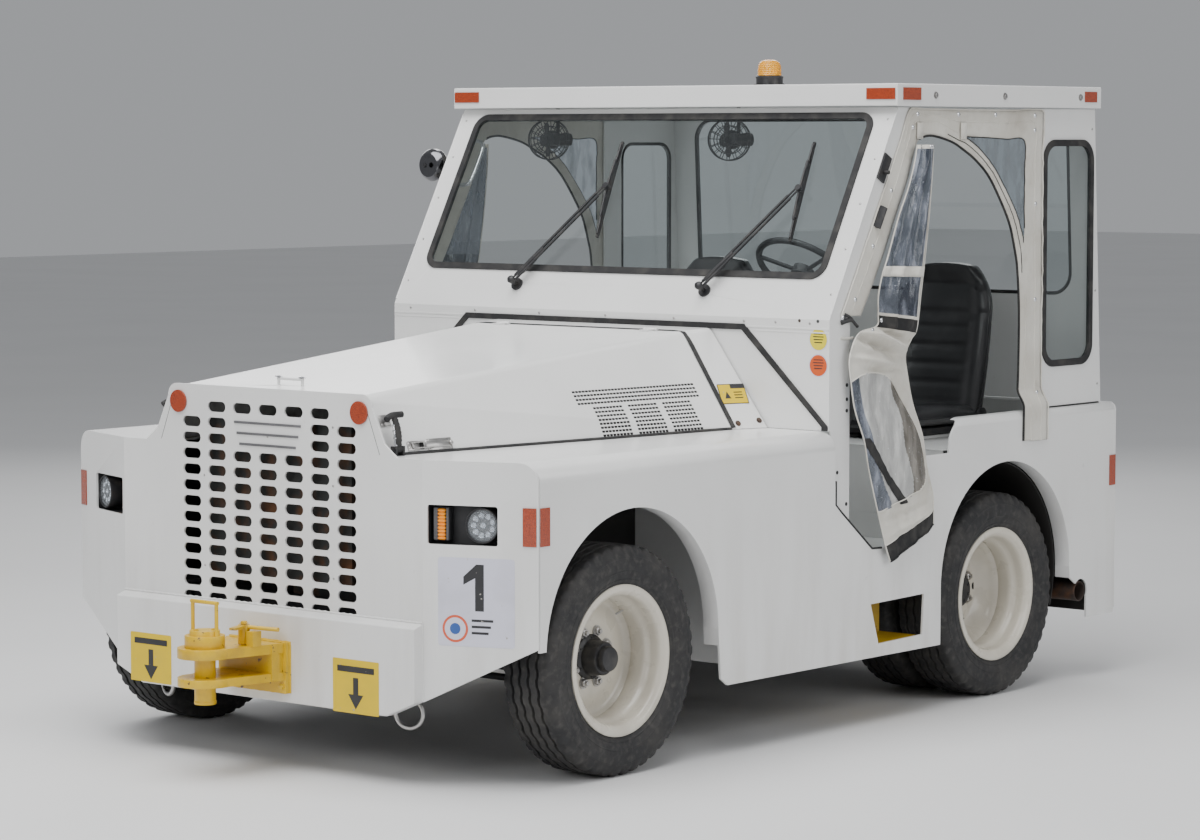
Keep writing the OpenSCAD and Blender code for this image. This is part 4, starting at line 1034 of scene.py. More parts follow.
def cowl_details():
    fit = Shape()
    for s in (1, -1):
        for y, z in ((1.031, 1.082), (1.116, 1.089)):
            at, n = flank("cowl_bridge", s, y, z)
            fit.bolt(at, n, 0.0080, 0.005)
    for x in (0.905, 0.985):
        fit.rivet((x, CAB_Y, 1.447), (0, -1, 0), 0.0060, 0.003)
    fit.make("cowl_bolts", IRON, sharp=40)
    films = Shape()
    at, right, up, n = flank_axes("cowl_bridge", 1, 1.068, 1.182)
    patch(films, at, right, up, 0.112, 0.080, 1, 0.003)
    frame_line = [(-0.053, -0.037), (0.053, -0.037), (0.053, 0.021), (-0.004, 0.021), (-0.004, 0.037),
                  (-0.053, 0.037)]
    figure(films, at, right, up, frame_line, 0)
    figure(films, at, right, up, [(-0.036, -0.018), (-0.012, -0.018), (-0.024, 0.010)], 1, 0.0010)
    for k in range(3):
        stripe(films, at, right, up, 0.004, 0.038, 0.004 - 0.011 * k, 0.004, 1, 0.0010)
    films.make("cowl_film", [YELLOW_FILM, BLACK_FILM], smooth=False)


def draw_latch(s):
    """Rubber T latch: a ribbed strap from its bracket to a drooping T bar over the hood's flank."""
    name = side_of(s)
    body = "hood_latch_" + name
    foot, head = V((s * 0.532, -0.530, 1.084)), V((s * 0.515, -0.530, 1.190))
    way = (head - foot).normalized()
    n = V((0, s, 0)).cross(way)
    n = n if n.x * s > 0 else -n
    strap = Shape()
    strap.bar([foot + V((0, y, 0)) for y in (-0.0135, 0.0135)], 0.0110, steps=20)
    rings = []
    for k in range(25):
        v = k / 24
        rib = 1 if k % 3 == 0 else 0
        w = 0.0120 + 0.003 * (1 - v) + 0.0014 * rib
        t = 0.0070 + 0.0015 * (1 - v) + 0.0012 * rib
        c = foot.lerp(head, v) + n * (0.010 * sin(pi * v))
        rings.append([c + V((0, 1, 0)) * (w * cos(a)) + n * (t * sin(a))
                      for a in (2 * pi * i / 14 for i in range(14))])
    strap.rings(rings)
    bar = [head + V((0, y, 0)) + n * (0.004 * (y / 0.038) ** 2)
           + way * (0.004 - 0.012 * max(0, -y / 0.038) ** 2)
           for y in (-0.040, -0.033, -0.024, -0.012, 0, 0.012, 0.024, 0.036)]
    strap.bar(bar, 0.0105, steps=14)
    made = strap.make("draw_latch_" + name, RUBBER, body, slot="rubber_seal", sharp=50)
    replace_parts(made, "hood_latch_" + name)
    link = Shape()
    for y in (-0.0185, -0.0165):
        link.bar([foot.lerp(head, v) + V((0, y, 0)) + n * (0.004 + 0.006 * sin(pi * v))
                  for v in (0.05, 0.3, 0.55, 0.74)], 0.0026, steps=8)
    for v in (0.12, 0.34, 0.56, 0.72):
        c = foot.lerp(head, v) + n * 0.008
        link.bar([c - V((0, 0.0200, 0)), c - V((0, 0.0140, 0))], 0.0048, steps=10)
    link.make("latch_link_" + name, CHROME, body, sharp=50)
    plate = Shape()
    catch, along, up, n2 = flank_axes("hood", s, -0.530, 1.178)
    turn = Matrix((along, up, n2)).transposed()
    plate.block((-0.022, -0.026, 0.0002), (0.022, 0.014, 0.0030), 0, turn, catch, 0.001)
    for x in (-0.015, 0.015):
        plate.rivet(catch + along * x - up * 0.020 + n2 * 0.003, n2, 0.004, 0.0025)
    plate.make("latch_catch_" + name, STEEL, "hood", sharp=40)


def hasp(s):
    """Chrome toggle clasp on the hood's flank, with its hook plate and bail."""
    name = side_of(s)
    a, along, up, n = flank_axes("hood", s, -0.468, 1.088)
    turn = Matrix((along, up, n)).transposed()
    clasp = Shape()
    clasp.block((0.000, -0.016, 0.0002), (0.050, 0.016, 0.003), 0, turn, a, 0.001)
    clasp.block((0.085, -0.020, 0.0002), (0.190, 0.020, 0.003), 0, turn, a, 0.001)
    clasp.block((0.070, -0.012, 0.008), (0.172, 0.012, 0.0135), 0, turn, a, 0.002)
    # the two blocks on slot 1 are near black: painted shade in the gaps under the lever and between the plates
    clasp.block((0.100, -0.010, 0.003), (0.140, 0.010, 0.010), 1, turn, a, 0.002)
    clasp.block((0.052, -0.014, 0.0002), (0.068, 0.014, 0.0055), 1, turn, a, 0.001)
    for y in (-0.010, 0.010):
        clasp.bar([a + turn @ V(p) for p in ((0.020, 0.9 * y, 0.007), (0.050, y, 0.008), (0.095, y, 0.009))],
                  0.0028, steps=8)
    clasp.bar([a + turn @ V(p) for p in ((0.020, -0.010, 0.007), (0.020, 0.010, 0.007))], 0.0040, steps=10)
    for x, y in ((0.008, 0.007), (0.008, -0.007), (0.178, 0.011), (0.178, -0.011), (0.096, 0.013),
                 (0.096, -0.013)):
        clasp.rivet(a + turn @ V((x, y, 0.003)), n, 0.0038, 0.002)
    clasp.lathe([(0.007, 0.003), (0.007, 0.012), (0.005, 0.014), (0.0, 0.014)], a + turn @ V((0.182, 0, 0)),
                n, 20)
    clasp.make("hasp_" + name, [STEEL, GAP_SHADE], "hood", sharp=40)


def hood_handle():
    """Feet of the bar handle on the hood's front edge."""
    handle = Shape()
    for x in (-0.055, 0.055):
        at, n = surface("hood", (x, -0.480, 2), (0, 0, -1))
        handle.lathe([(0.013, 0.0), (0.013, 0.003), (0.009, 0.005)], at, n, 24)
    handle.make("handle_feet", CHROME, "hood", sharp=40)


for sign in (1, -1):
    hood_slits(sign)
    draw_latch(sign)
    hasp(sign)
hood_seals()
cowl_details()
hood_handle()


# ---------------- cab: bolts, beacon, mirror, wipers and fittings

FOLD_Z = 1.452
BROW_Y = 1.550
RAKE = atan2(BROW_Y - CAB_Y, 2.196 - FOLD_Z)


def on_screen(x, up, out=0.0):
    """A point on the windscreen panel: up its slope from the fold, and out from its face."""
    return V((x, CAB_Y + up * sin(RAKE) - out * cos(RAKE), FOLD_Z + up * cos(RAKE) + out * sin(RAKE)))


def cab_bolts():
    heads = Shape()
    for x in (-0.95, -0.62, -0.30, 0.02, 0.34, 0.66, 0.80, 0.95):
        heads.rivet((x, CAB_Y, 1.438), (0, -1, 0), 0.005, 0.0025)
    normal = V((0, -cos(RAKE), sin(RAKE)))
    for s in (1, -1):
        for up in (0.10, 0.28, 0.46, 0.64, 0.80):
            heads.rivet(on_screen(s * 1.006, up), normal, 0.0045, 0.002)
        for y in (1.75, 2.20, 2.72):
            heads.bolt((s * ROOF[1][0], y, 2.240), (s, 0, 0), 0.0095, 0.007)
        for y, z in ((1.245, 1.22), (1.245, 1.17), (1.245, 1.13), (1.190, 0.915), (1.245, 0.80)):
            heads.rivet((s * WALL_X, y, z), (s, 0, 0), 0.007, 0.003, 1)
        for z in (1.14, 1.50, 2.12):
            for y in (2.90 - (z - 1.066) * tan(radians(3.14)), 2.470):
                heads.rivet((s * WALL_X, y, z), (s, 0, 0), 0.005, 0.0025)
    for x in (-0.9, -0.45, 0.0, 0.45, 0.9):
        heads.rivet((x, 2.9225, 1.10), (0, 1, 0), 0.006, 0.003)
    heads.make("cab_bolts", [STEEL, BLACK], sharp=40)


def cab_trim():
    """Folded seams and cover strips of the cab's plates."""
    trim = Shape()
    for x in (0.70, -1.032):
        trim.block((x, CAB_Y - 0.0015, 1.404), (x + 0.332, CAB_Y + 0.001, 1.409))
    trim.block((-1.034, CAB_Y - 0.002, 1.4165), (1.034, CAB_Y + 0.001, 1.4225))
    for s in (1, -1):
        a = [on_screen(s * 1.0335, 0.02, 0.0), on_screen(s * 1.0335, 0.83, 0.0)]
        trim.bar(a, 0.0035, steps=10)
    trim.make("cab_seams", CREAM, sharp=40)
    gutter = Shape()
    for s in (1, -1):
        gutter.bar([(s * (ROOF[1][0] - 0.003), ROOF[0][1] + 0.003, ROOF[0][2] + 0.002),
                    (s * (ROOF[1][0] - 0.003), ROOF[1][1] - 0.003, ROOF[0][2] + 0.002)], 0.0030, steps=10)
    gutter.make("roof_hem", CREAM, sharp=40)


def beacon():
    """Fluted amber dome over a bright reflector, with its clamp ring."""
    x, y, z = 0.0, 2.160, ROOF[1][2]
    dome = Shape()
    steps, rings = 96, []
    for r, h in ((0.0440, 0.0), (0.0470, 0.002), (0.0470, 0.008), (0.0455, 0.010), (0.0450, 0.030),
                 (0.0435, 0.044), (0.0390, 0.056), (0.0300, 0.063), (0.0160, 0.067), (0.0, 0.0678)):
        ring = []
        for i in range(steps):
            flute = 0.0007 * cos(2 * pi * i / steps * 24) if 0.008 < h < 0.05 else 0
            a = 2 * pi * i / steps
            ring.append((x + (r + flute) * cos(a), y + (r + flute) * sin(a), z + 0.0405 + h))
        rings.append(ring)
    dome.rings(rings)
    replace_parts(dome.make("beacon_dome", AMBER, slot="beacon_amber", sharp=60), "beacon_lens")
    inside = Shape()
    inside.lathe([(0.030, 0.0410), (0.030, 0.050), (0.012, 0.054), (0.012, 0.086), (0.020, 0.092),
                  (0.0, 0.094)],
                 (x, y, z), (0, 0, 1), 32)
    inside.make("beacon_lamp", CHROME, sharp=40)
    ring = Shape()
    ring.turned([(0.0485, 0.036), (0.0540, 0.037), (0.0545, 0.044), (0.0490, 0.047), (0.0475, 0.044)],
                (x, y, z), (0, 0, 1))
    for p in around(3, 0.056, (0, 0, 0)):
        ring.rivet((x + p.y, y + p.z, z + 0.0145), (0, 0, 1), 0.0045, 0.003)
    ring.make("beacon_ring", BLACK, sharp=40)


def mirror():
    """Rim, glass and nut on the round mirror's chromed shell."""
    c = V((-1.150, 1.490, 1.980))
    rim = Shape()
    rim.turned([(0.0600, 0.0155), (0.0625, 0.0140), (0.0640, 0.0165), (0.0625, 0.0190), (0.0600, 0.0180)], c,
               (0, 1, 0), 72)
    rim.make("mirror_rim", STEEL, "mirror_head", sharp=60)
    glass = Shape()
    glass.lathe([(0.0600, 0.0176), (0.0400, 0.0188), (0.0200, 0.0195), (0.0, 0.0197)], c, (0, 1, 0), 72)
    glass.make("mirror_glass", MIRROR, "mirror_head", sharp=60)
    nut = Shape()
    nut.bolt(c + V((0.0, -0.0475, 0)), (0, -1, 0), 0.008, 0.006)
    nut.make("mirror_nut", BLACK, "mirror_head", sharp=40)


def grab_handle():
    """Chrome grab handle inside the right pillar."""
    bar = Shape()
    line = curve([(-1.020, 1.470, 1.900), (-0.975, 1.480, 1.905), (-0.955, 1.495, 1.925),
                  (-0.955, 1.560, 2.040), (-0.975, 1.575, 2.070), (-1.020, 1.575, 2.075)], 6)
    bar.bar(line, 0.008, steps=12)
    for p in (line[0], line[-1]):
        bar.lathe([(0.019, 0), (0.019, 0.003), (0.010, 0.005)], p, (1, 0, 0), 24)
    bar.make("grab_handle", CHROME, sharp=50)


WIPER_PIVOT = (0.447, 0.097)      # across, and up the slope from the fold
WIPER_LEAN = radians(36)
WIPER_REACH = 0.5
BLADE_LEAN = radians(-5)
# (height, place across) round the section of the rubber lip
LIP = [(0.0105, -0.0055), (0.0105, 0.0055), (0.0065, 0.0035), (0.0012, 0.0012), (0.0012, -0.0012),
       (0.0065, -0.0035)]


def wiper_parts(s):
    """Rubber lip, clips, nut cap and spring of a wiper."""
    name = side_of(s)
    normal = V((0, -cos(RAKE), sin(RAKE)))
    pivot = V((WIPER_PIVOT[0] * s, WIPER_PIVOT[1]))
    way = V((sin(WIPER_LEAN), cos(WIPER_LEAN)))

    def on_arm(d, out, side=0.0):
        return on_screen(*(pivot + way * d + V((way.y, -way.x)) * side), out)
    cap = Shape()
    at = on_arm(0, 0.043)
    cap.lathe([(0.0150, 0), (0.0150, 0.004), (0.0110, 0.010), (0.0, 0.012)], at, normal, 24)
    cap.bar([on_arm(d, 0.036 + 0.004 * sin(pi * (d - 0.03) / 0.14)) for d in (0.03, 0.06, 0.10, 0.14, 0.17)],
            0.0085, steps=12, squeeze=0.8)
    coil = []
    for k in range(120):
        x, up = pivot + way * (0.05 + 0.0035 * k / 6)
        coil.append(on_screen(x + 0.006 * cos(k), up - 0.005 * cos(k), 0.026 + 0.005 * sin(k)))
    cap.bar(coil, 0.0011, steps=5)
    for side in (-0.0085, 0.0085):
        cap.bar([on_arm(d, 0.036, side) for d in (0.02, 0.14, 0.30, 0.455)], 0.0054, steps=8)
    cap.make("wiper_cap_" + name, BLACK, "wiper_arm_" + name, sharp=50)
    tip = pivot + way * WIPER_REACH
    blade = Shape()

    def along(d, out, side=0.0):
        return on_screen(tip.x + sin(BLADE_LEAN) * d + cos(BLADE_LEAN) * side,
                         tip.y + cos(BLADE_LEAN) * d - sin(BLADE_LEAN) * side, out)
    blade.rings([[along(-0.202 + 0.404 * k / 20, out, side) for out, side in LIP] for k in range(21)], 1)
    for a, b, out in ((-0.19, 0.19, 0.0130), (-0.12, 0.12, 0.0215)):
        bow = [along(a + (b - a) * k / 12, out + 0.006 * sin(pi * k / 12)) for k in range(13)]
        blade.bar(bow, 0.0042, 0, 8)
    blade.make("wiper_rubber_" + name, [BLACK, RUBBER], "wiper_blade_" + name, sharp=50)


MIRROR = chrome("mirror_glass", (0.86, 0.88, 0.9), 0.02)
cab_bolts()
cab_trim()
beacon()
mirror()
grab_handle()
for sign in (1, -1):
    wiper_parts(sign)


FAN_TURN = radians(25)


def fan_guard(name, at):
    """Wire guard and motor cap of a cab fan."""
    way = V((sin(FAN_TURN), -cos(FAN_TURN), 0))
    turn = facing(way)
    guard = Shape()
    for r, h in ((0.078, 0.0), (0.076, 0.022), (0.052, 0.028), (0.026, 0.030), (0.078, -0.020),
                 (0.052, -0.024)):
        ring = [V(at) + turn @ V((*round_to(r, i, 36), h)) for i in range(36)]
        guard.bar(ring, 0.0020, steps=6, closed=True)
    for i in range(16):
        spoke = [V(at) + turn @ V((*round_to(r, i, 16), h))
                 for r, h in ((0.012, 0.030), (0.052, 0.028), (0.076, 0.022), (0.078, 0.0), (0.078, -0.020),
                              (0.052, -0.024), (0.030, -0.026))]
        guard.bar(spoke, 0.0016, steps=5)
    guard.lathe([(0.030, -0.070), (0.036, -0.060), (0.036, -0.032), (0.028, -0.026), (0.0, -0.026)], V(at),
                way, 28)
    guard.make(name, BLACK, sharp=60)


fan_guard("fan_guard_left", (0.205, 1.640, 2.080))
fan_guard("fan_guard_right", (-0.680, 1.640, 2.080))


# ---------------- seats

SEAT_ROUND = 48              # points round each section of the padding
BACK_ROWS, CUSHION_ROWS = 44, 40
CUSHION_FOOT = 0.992


def bell(value, middle, width):
    return exp(-((value - middle) / width) ** 2)


def groove(share, count):
    """A sewn channel: 1 in the middle of each of count bands, 0 away from it."""
    return max(0, 1 - abs(((share * count) % 1) - 0.5) * 9)


def squircle(i, power_across, power_up):
    """Step i round a section, as its two places from -1 to 1."""
    a = 2 * pi * i / SEAT_ROUND
    return (abs(cos(a)) ** power_across * (1 if cos(a) > 0 else -1),
            abs(sin(a)) ** power_up * (1 if sin(a) > 0 else -1))


def back_width(v):
    return 0.012 * sin(pi * v) - 0.085 * max(0, (v - 0.72) / 0.28) ** 2.2


def back_section(x0, v):
    """The section of a seat's back at v, from 0 at its foot to 1 at its top."""
    ring = []
    for i in range(SEAT_ROUND):
        u, face = squircle(i, 0.55, 0.75)
        y = 2.475 + 0.105 * v + (0.052 - 0.016 * v) * face
        if face < 0:
            hollow = 0.040 * (1 - abs(u) ** 2.4) * (1 - max(0, (v - 0.80) / 0.2) ** 2)
            channel = 0.0055 * groove(v, 9) if v < 0.66 and abs(u) < 0.66 else 0.0
            bolster = 0.012 * bell(abs(u), 0.80, 0.13) * (1 if v < 0.86 else 0.4)
            band = 0.007 * bell(v, 0.70, 0.018) + 0.006 * bell(v, 0.88, 0.014)
            y += (hollow + channel - bolster + band) * min(1, -face * 1.6)
        crown = 0.010 * (1 - u * u) * (v > 0.9)
        ring.append((x0 + (0.205 + back_width(v)) * u, y, 0.975 + 0.625 * v + crown))
    return ring


def cushion_section(x0, t):
    """The section of a seat's cushion at t, from 0 at its front to 1 at the back."""
    width = 0.212 - 0.030 * (1 - t) ** 3
    top = 1.058 + 0.020 * (1 - t) + 0.016 * sin(pi * t) - 0.050 * max(0, 1 - t * 5) ** 2
    mid, half = (top + CUSHION_FOOT) / 2, (top - CUSHION_FOOT) / 2
    ring = []
    for i in range(SEAT_ROUND):
        u, face = squircle(i, 0.5, 0.7)
        z = mid + half * face
        if face > 0:
            z += (0.020 * bell(abs(u), 0.82, 0.14) - 0.014 * (1 - u * u)) * face
            if abs(u) < 0.68 and 0.12 < t < 0.92:
                z -= 0.0050 * groove(t, 7) * face
        ring.append((x0 + width * u, 2.035 + 0.43 * t, z))
    return ring


def seat(name, x0):
    """Moulded high-back seat: bolstered back and cushion in vinyl, with sewn channels, piping and base."""
    back = Shape().rings([back_section(x0, k / BACK_ROWS) for k in range(BACK_ROWS + 1)])
    cushion = Shape().rings([cushion_section(x0, k / CUSHION_ROWS) for k in range(CUSHION_ROWS + 1)])
    for shape, part in ((back, "back"), (cushion, "cushion")):
        made = shape.make(name + "_" + part, VINYL, name, slot="seat_vinyl")
        smooth = made.modifiers.new("smooth", "SUBSURF")
        smooth.levels = smooth.render_levels = 1
        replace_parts(made, name)
    piping = Shape()
    for s in (1, -1):
        line = [(x0 + s * (0.2055 + back_width(v)), 2.470 + 0.105 * v, 0.985 + 0.605 * v)
                for v in (k / 24 for k in range(1, 24))]
        piping.bar(line, 0.0035, steps=8)
        line = [(x0 + s * (0.2125 - 0.030 * (1 - t) ** 3), 2.045 + 0.41 * t, 1.030)
                for t in (k / 16 for k in range(17))]
        piping.bar(line, 0.0035, steps=8)
    piping.make(name + "_piping", VINYL, name, sharp=60)
    base = Shape()
    base.block((x0 - 0.165, 2.095, 0.9665), (x0 + 0.165, 2.495, 0.9945), 0, chamfer=0.004)
    for s in (1, -1):
        base.block((x0 + s * 0.1425 - 0.012, 2.110, 0.9632), (x0 + s * 0.1425 + 0.012, 2.500, 0.9672), 0,
                   chamfer=0.001)
        base.lathe([(0.028, 0), (0.028, 0.010), (0.020, 0.013), (0.0, 0.013)], (x0 + s * 0.212, 2.485, 1.030),
                   (s, 0, 0), 28)
    base.bar([(x0 + 0.175, 2.110, 0.975), (x0 + 0.200, 2.075, 0.980), (x0 + 0.200, 2.030, 0.985)], 0.006)
    base.make(name + "_base", BLACK, name, sharp=40)


for seat_name, sign in (("driver_seat", 1), ("passenger_seat", -1)):
    seat(seat_name, sign * 0.560)


# ---------------- cloth doors

# (y, z) down the four lines of the surround, from the front post over the top to the tail:
# its inner edge, the arc's outer edge, the corner window's far edge, and its outer edge
SURROUND = [
    ((1.325, 1.462), (1.262, 1.462), (1.260, 1.462), (1.200, 1.462)),
    ((1.440, 1.640), (1.374, 1.640), (1.372, 1.640), (1.306, 1.640)),
    ((1.530, 1.800), (1.466, 1.802), (1.464, 1.802), (1.400, 1.805)),
    ((1.605, 1.935), (1.547, 1.944), (1.545, 1.945), (1.486, 1.955)),
    ((1.645, 2.030), (1.604, 2.056), (1.602, 2.058), (1.560, 2.085)),
    ((1.672, 2.078), (1.646, 2.130), (1.645, 2.132), (1.615, 2.190)),
    ((1.729, 2.094), (1.716, 2.138), (1.715, 2.140), (1.700, 2.192)),
    ((1.795, 2.090), (1.793, 2.138), (1.793, 2.140), (1.790, 2.192)),
    ((1.891, 2.070), (1.930, 2.092), (1.933, 2.095), (1.900, 2.192)),
    ((1.960, 2.043), (1.985, 2.082), (2.001, 2.090), (2.010, 2.192)),
    ((2.042, 2.004), (2.066, 2.043), (2.120, 2.087), (2.150, 2.192)),
    ((2.129, 1.943), (2.160, 1.978), (2.240, 2.082), (2.300, 2.192)),
    ((2.213, 1.847), (2.253, 1.880), (2.357, 2.076), (2.492, 2.190)),
    ((2.272, 1.760), (2.314, 1.802), (2.362, 1.960), (2.494, 2.050)),
    ((2.307, 1.666), (2.344, 1.742), (2.363, 1.850), (2.494, 1.900)),
    ((2.324, 1.600), (2.360, 1.690), (2.365, 1.740), (2.494, 1.750)),
    ((2.338, 1.450), (2.376, 1.500), (2.379, 1.502), (2.494, 1.500)),
    ((2.338, 1.250), (2.376, 1.250), (2.379, 1.250), (2.494, 1.250)),
    ((2.332, 1.110), (2.376, 1.110), (2.379, 1.110), (2.494, 1.110)),
    ((2.330, 0.955), (2.376, 0.955), (2.379, 0.952), (2.494, 0.950))]
SURROUND_SNAPS = [(1.660, 2.172), (1.920, 2.172), (2.165, 2.172), (2.430, 2.170), (2.430, 2.115),
                  (1.632, 2.125), (1.500, 1.900), (1.390, 1.705), (1.285, 1.520), (2.440, 1.840),
                  (2.443, 1.480), (2.447, 1.130)]
# what is sewn along it: place across, first and last row, lift, radius, and 0 black or 1 web
SURROUND_LINES = [(0.0, 5.2, 99, 0.0006, 0.0045, 0), (1.0, 8.3, 15.0, 0.0008, 0.0022, 0),
                  (2.0, 8.5, 15.0, 0.0008, 0.0022, 0), (0.55, 7.5, 15.5, 0.0012, 0.0016, 0),
                  (0.35, 7.5, 15.5, 0.0012, 0.0016, 1), (2.55, 4.0, 99, 0.0010, 0.0018, 1),
                  (2.10, 0.2, 8.0, 0.0010, 0.0018, 1), (1.30, 16, 99, 0.0010, 0.0018, 1),
                  (2.97, 0, 99, 0.0006, 0.0028, 1)]
CORNER_ROWS = (8.5, 15)          # rows that the corner window passes
STEPS = 18                       # rows of the cloth between two control points


def surround_x(z):
    """How far out the cloth lies: on the cab's wall, then out over the fender's shoulder."""
    step = min(max((1.150 - z) / 0.070, 0), 1)
    return WALL_X + 0.0022 + (SIDE_X + 0.0032 - WALL_X - 0.0022) * step * step * (3 - 2 * step)


def surround_at(s, p, loose=1.0):
    """The cloth's place over (y, z), with its folds and creases."""
    fold = noise.noise(V((p.y * 7, p.z * 5, s * 3))) * 0.5 + 0.5
    crease = abs(noise.noise(V((p.y * 16 + p.z * 11, p.z * 9, s * 5))))
    fine = abs(noise.noise(V((p.y * 44, p.z * 36 + p.y * 14, s * 9))))
    x = surround_x(p.z) + loose * (0.0036 * fold + 0.0036 * crease + 0.0026 * fine)
    return V((s * x, min(p.y, 2.4945), min(p.z, 2.193)))


def surround_lines():
    return [curve([(0, *row[j]) for row in SURROUND], STEPS) for j in range(4)]


def across_surround(lines, k, v):
    """The place at row k, at 0, 1, 2 or 3 on its four lines, or between them."""
    j = min(int(v), 2)
    return lines[j][k].lerp(lines[j + 1][k], v - j)


def door_surround(s):
    name = side_of(s)
    lines = surround_lines()
    shares = [i / 4 for i in range(4)] + [1 + i / 8 for i in range(8)] + [2 + i / 5 for i in range(6)]
    rows = []
    for k in range(len(lines[0])):
        window = CORNER_ROWS[0] * STEPS < k < CORNER_ROWS[1] * STEPS
        row = []
        for v in shares:
            edge = min(1.0, 6 * v, 6 * (3 - v)) * (0.25 if window and 1.1 < v < 1.9 else 1.0)
            row.append(surround_at(s, across_surround(lines, k, v), edge))
        rows.append(row)
    verts, faces = grid(rows)
    mats = [1 if 8.2 * STEPS < k < 15.0 * STEPS and 4 <= i < 12 else 0
            for k in range(len(rows) - 1) for i in range(len(shares) - 1)]
    cloth = piece("door_surround_" + name, verts, faces, ([CANVAS, CORNER], mats), "chassis")
    thicken(cloth, 0.0012, 0)
    length = sum((a - b).length for a, b in zip(lines[3], lines[3][1:]))
    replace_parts(cloth, "door_surrounds")
    binding = Shape()
    count = len(lines[0])

    def line(v, first, last, lift):
        return [surround_at(s, across_surround(lines, k, v), min(1.0, 6 * v)) + V((s * lift, 0, 0))
                for k in range(int(first * STEPS), min(int(last * STEPS), count))]
    for v, first, last, lift, radius, mat in SURROUND_LINES:
        binding.bar(line(v, first, last, lift), radius, mat, 6 if v else 8)
    edge_trim = binding.make("surround_binding_" + name, [HEM, WEB], sharp=60)
    tab = Shape()
    for y in (1.930, 1.652):
        x = surround_x(2.1) + 0.0085
        x0, x1 = sorted((s * x, s * (x + 0.0022)))
        tab.block((x0, y, 2.082), (x1, y + 0.036, 2.142), 0, chamfer=0.0008)
    tabs = tab.make("surround_tabs_" + name, WEB, sharp=50)
    snaps = Shape()
    for y, z in SURROUND_SNAPS:
        p = surround_at(s, V((0, y, z)))
        snaps.lathe([(0.0088, -0.0030), (0.0088, 0.0015), (0.0060, 0.0038), (0.0, 0.0043)],
                    p + V((s * 0.001, 0, 0)), (s, 0, 0), 20)
    snaps.make("surround_snaps_" + name, CHROME, sharp=50)


# (y, z) of the gathered door's front edge and rear edge, row by row from its top to its hem
FLAP = [((1.623, 2.062), (1.723, 2.062)), ((1.601, 1.985), (1.719, 1.985)), ((1.566, 1.905), (1.711, 1.905)),
        ((1.508, 1.805), (1.698, 1.800)), ((1.446, 1.671), (1.676, 1.665)), ((1.410, 1.600), (1.662, 1.590)),
        ((1.388, 1.530), (1.648, 1.515)), ((1.387, 1.465), (1.635, 1.437)), ((1.377, 1.423), (1.620, 1.392)),
        ((1.268, 1.400), (1.592, 1.368)), ((1.217, 1.320), (1.556, 1.312)), ((1.225, 1.233), (1.572, 1.230)),
        ((1.249, 1.126), (1.603, 1.130)), ((1.277, 1.019), (1.634, 1.020)), ((1.305, 0.911), (1.662, 0.905)),
        ((1.362, 0.757), (1.700, 0.805)), ((1.407, 0.642), (1.706, 0.750)), ((1.437, 0.582), (1.706, 0.694))]
FLAP_STEPS = 16                    # rows of the cloth between two control points
FLAP_ACROSS = 80                   # columns of the cloth
BAND_ROWS = (7, 8)                 # black band between these rows
HEM_ROW = 16                       # black hem below this row
STRAP_ROW = 4.46                   # top of the tie strap
# (share across, height) round the lower clear window
FLAP_WINDOW = [(0.0, 1.235), (0.18, 1.256), (0.34, 1.262), (0.50, 1.254), (0.61, 1.236), (0.70, 1.205),
               (0.77, 1.170), (0.853, 1.110), (0.905, 1.045), (0.945, 0.975), (0.960, 0.925), (0.940, 0.880),
               (0.870, 0.850), (0.757, 0.828), (0.60, 0.810), (0.47, 0.798), (0.25, 0.782), (0.06, 0.765),
               (0.0, 0.762)]
# folds pulled through the cloth: start and end (y, z), height and width
FLAP_FOLDS = [((1.262, 1.430), (1.570, 1.325), 0.036, 0.017), ((1.262, 1.392), (1.480, 1.318), -0.034, 0.013),
              ((1.225, 1.322), (1.460, 1.288), 0.022, 0.012), ((1.400, 1.405), (1.600, 1.360), -0.024, 0.012),
              ((1.300, 1.278), (1.540, 1.262), -0.014, 0.010), ((1.640, 1.130), (1.585, 1.290), 0.014, 0.016),
              ((1.395, 0.730), (1.640, 0.770), -0.009, 0.012), ((1.430, 0.680), (1.690, 0.745), 0.009, 0.012)]


def flap_lines():
    return [curve([(0, *row[j]) for row in FLAP], FLAP_STEPS) for j in range(2)]


def fold_height(p):
    """What the pulled folds add at (y, z)."""
    total = 0.0
    for a, b, height, width in FLAP_FOLDS:
        a, b = V((0, *a)), V((0, *b))
        share = min(max((p - a).dot(b - a) / (b - a).length_squared, 0), 1)
        away = (p - a.lerp(b, share)).length
        total += height * exp(-(away / width) ** 2) * (0.35 + 0.65 * sin(pi * (0.12 + 0.80 * share)))
    return total


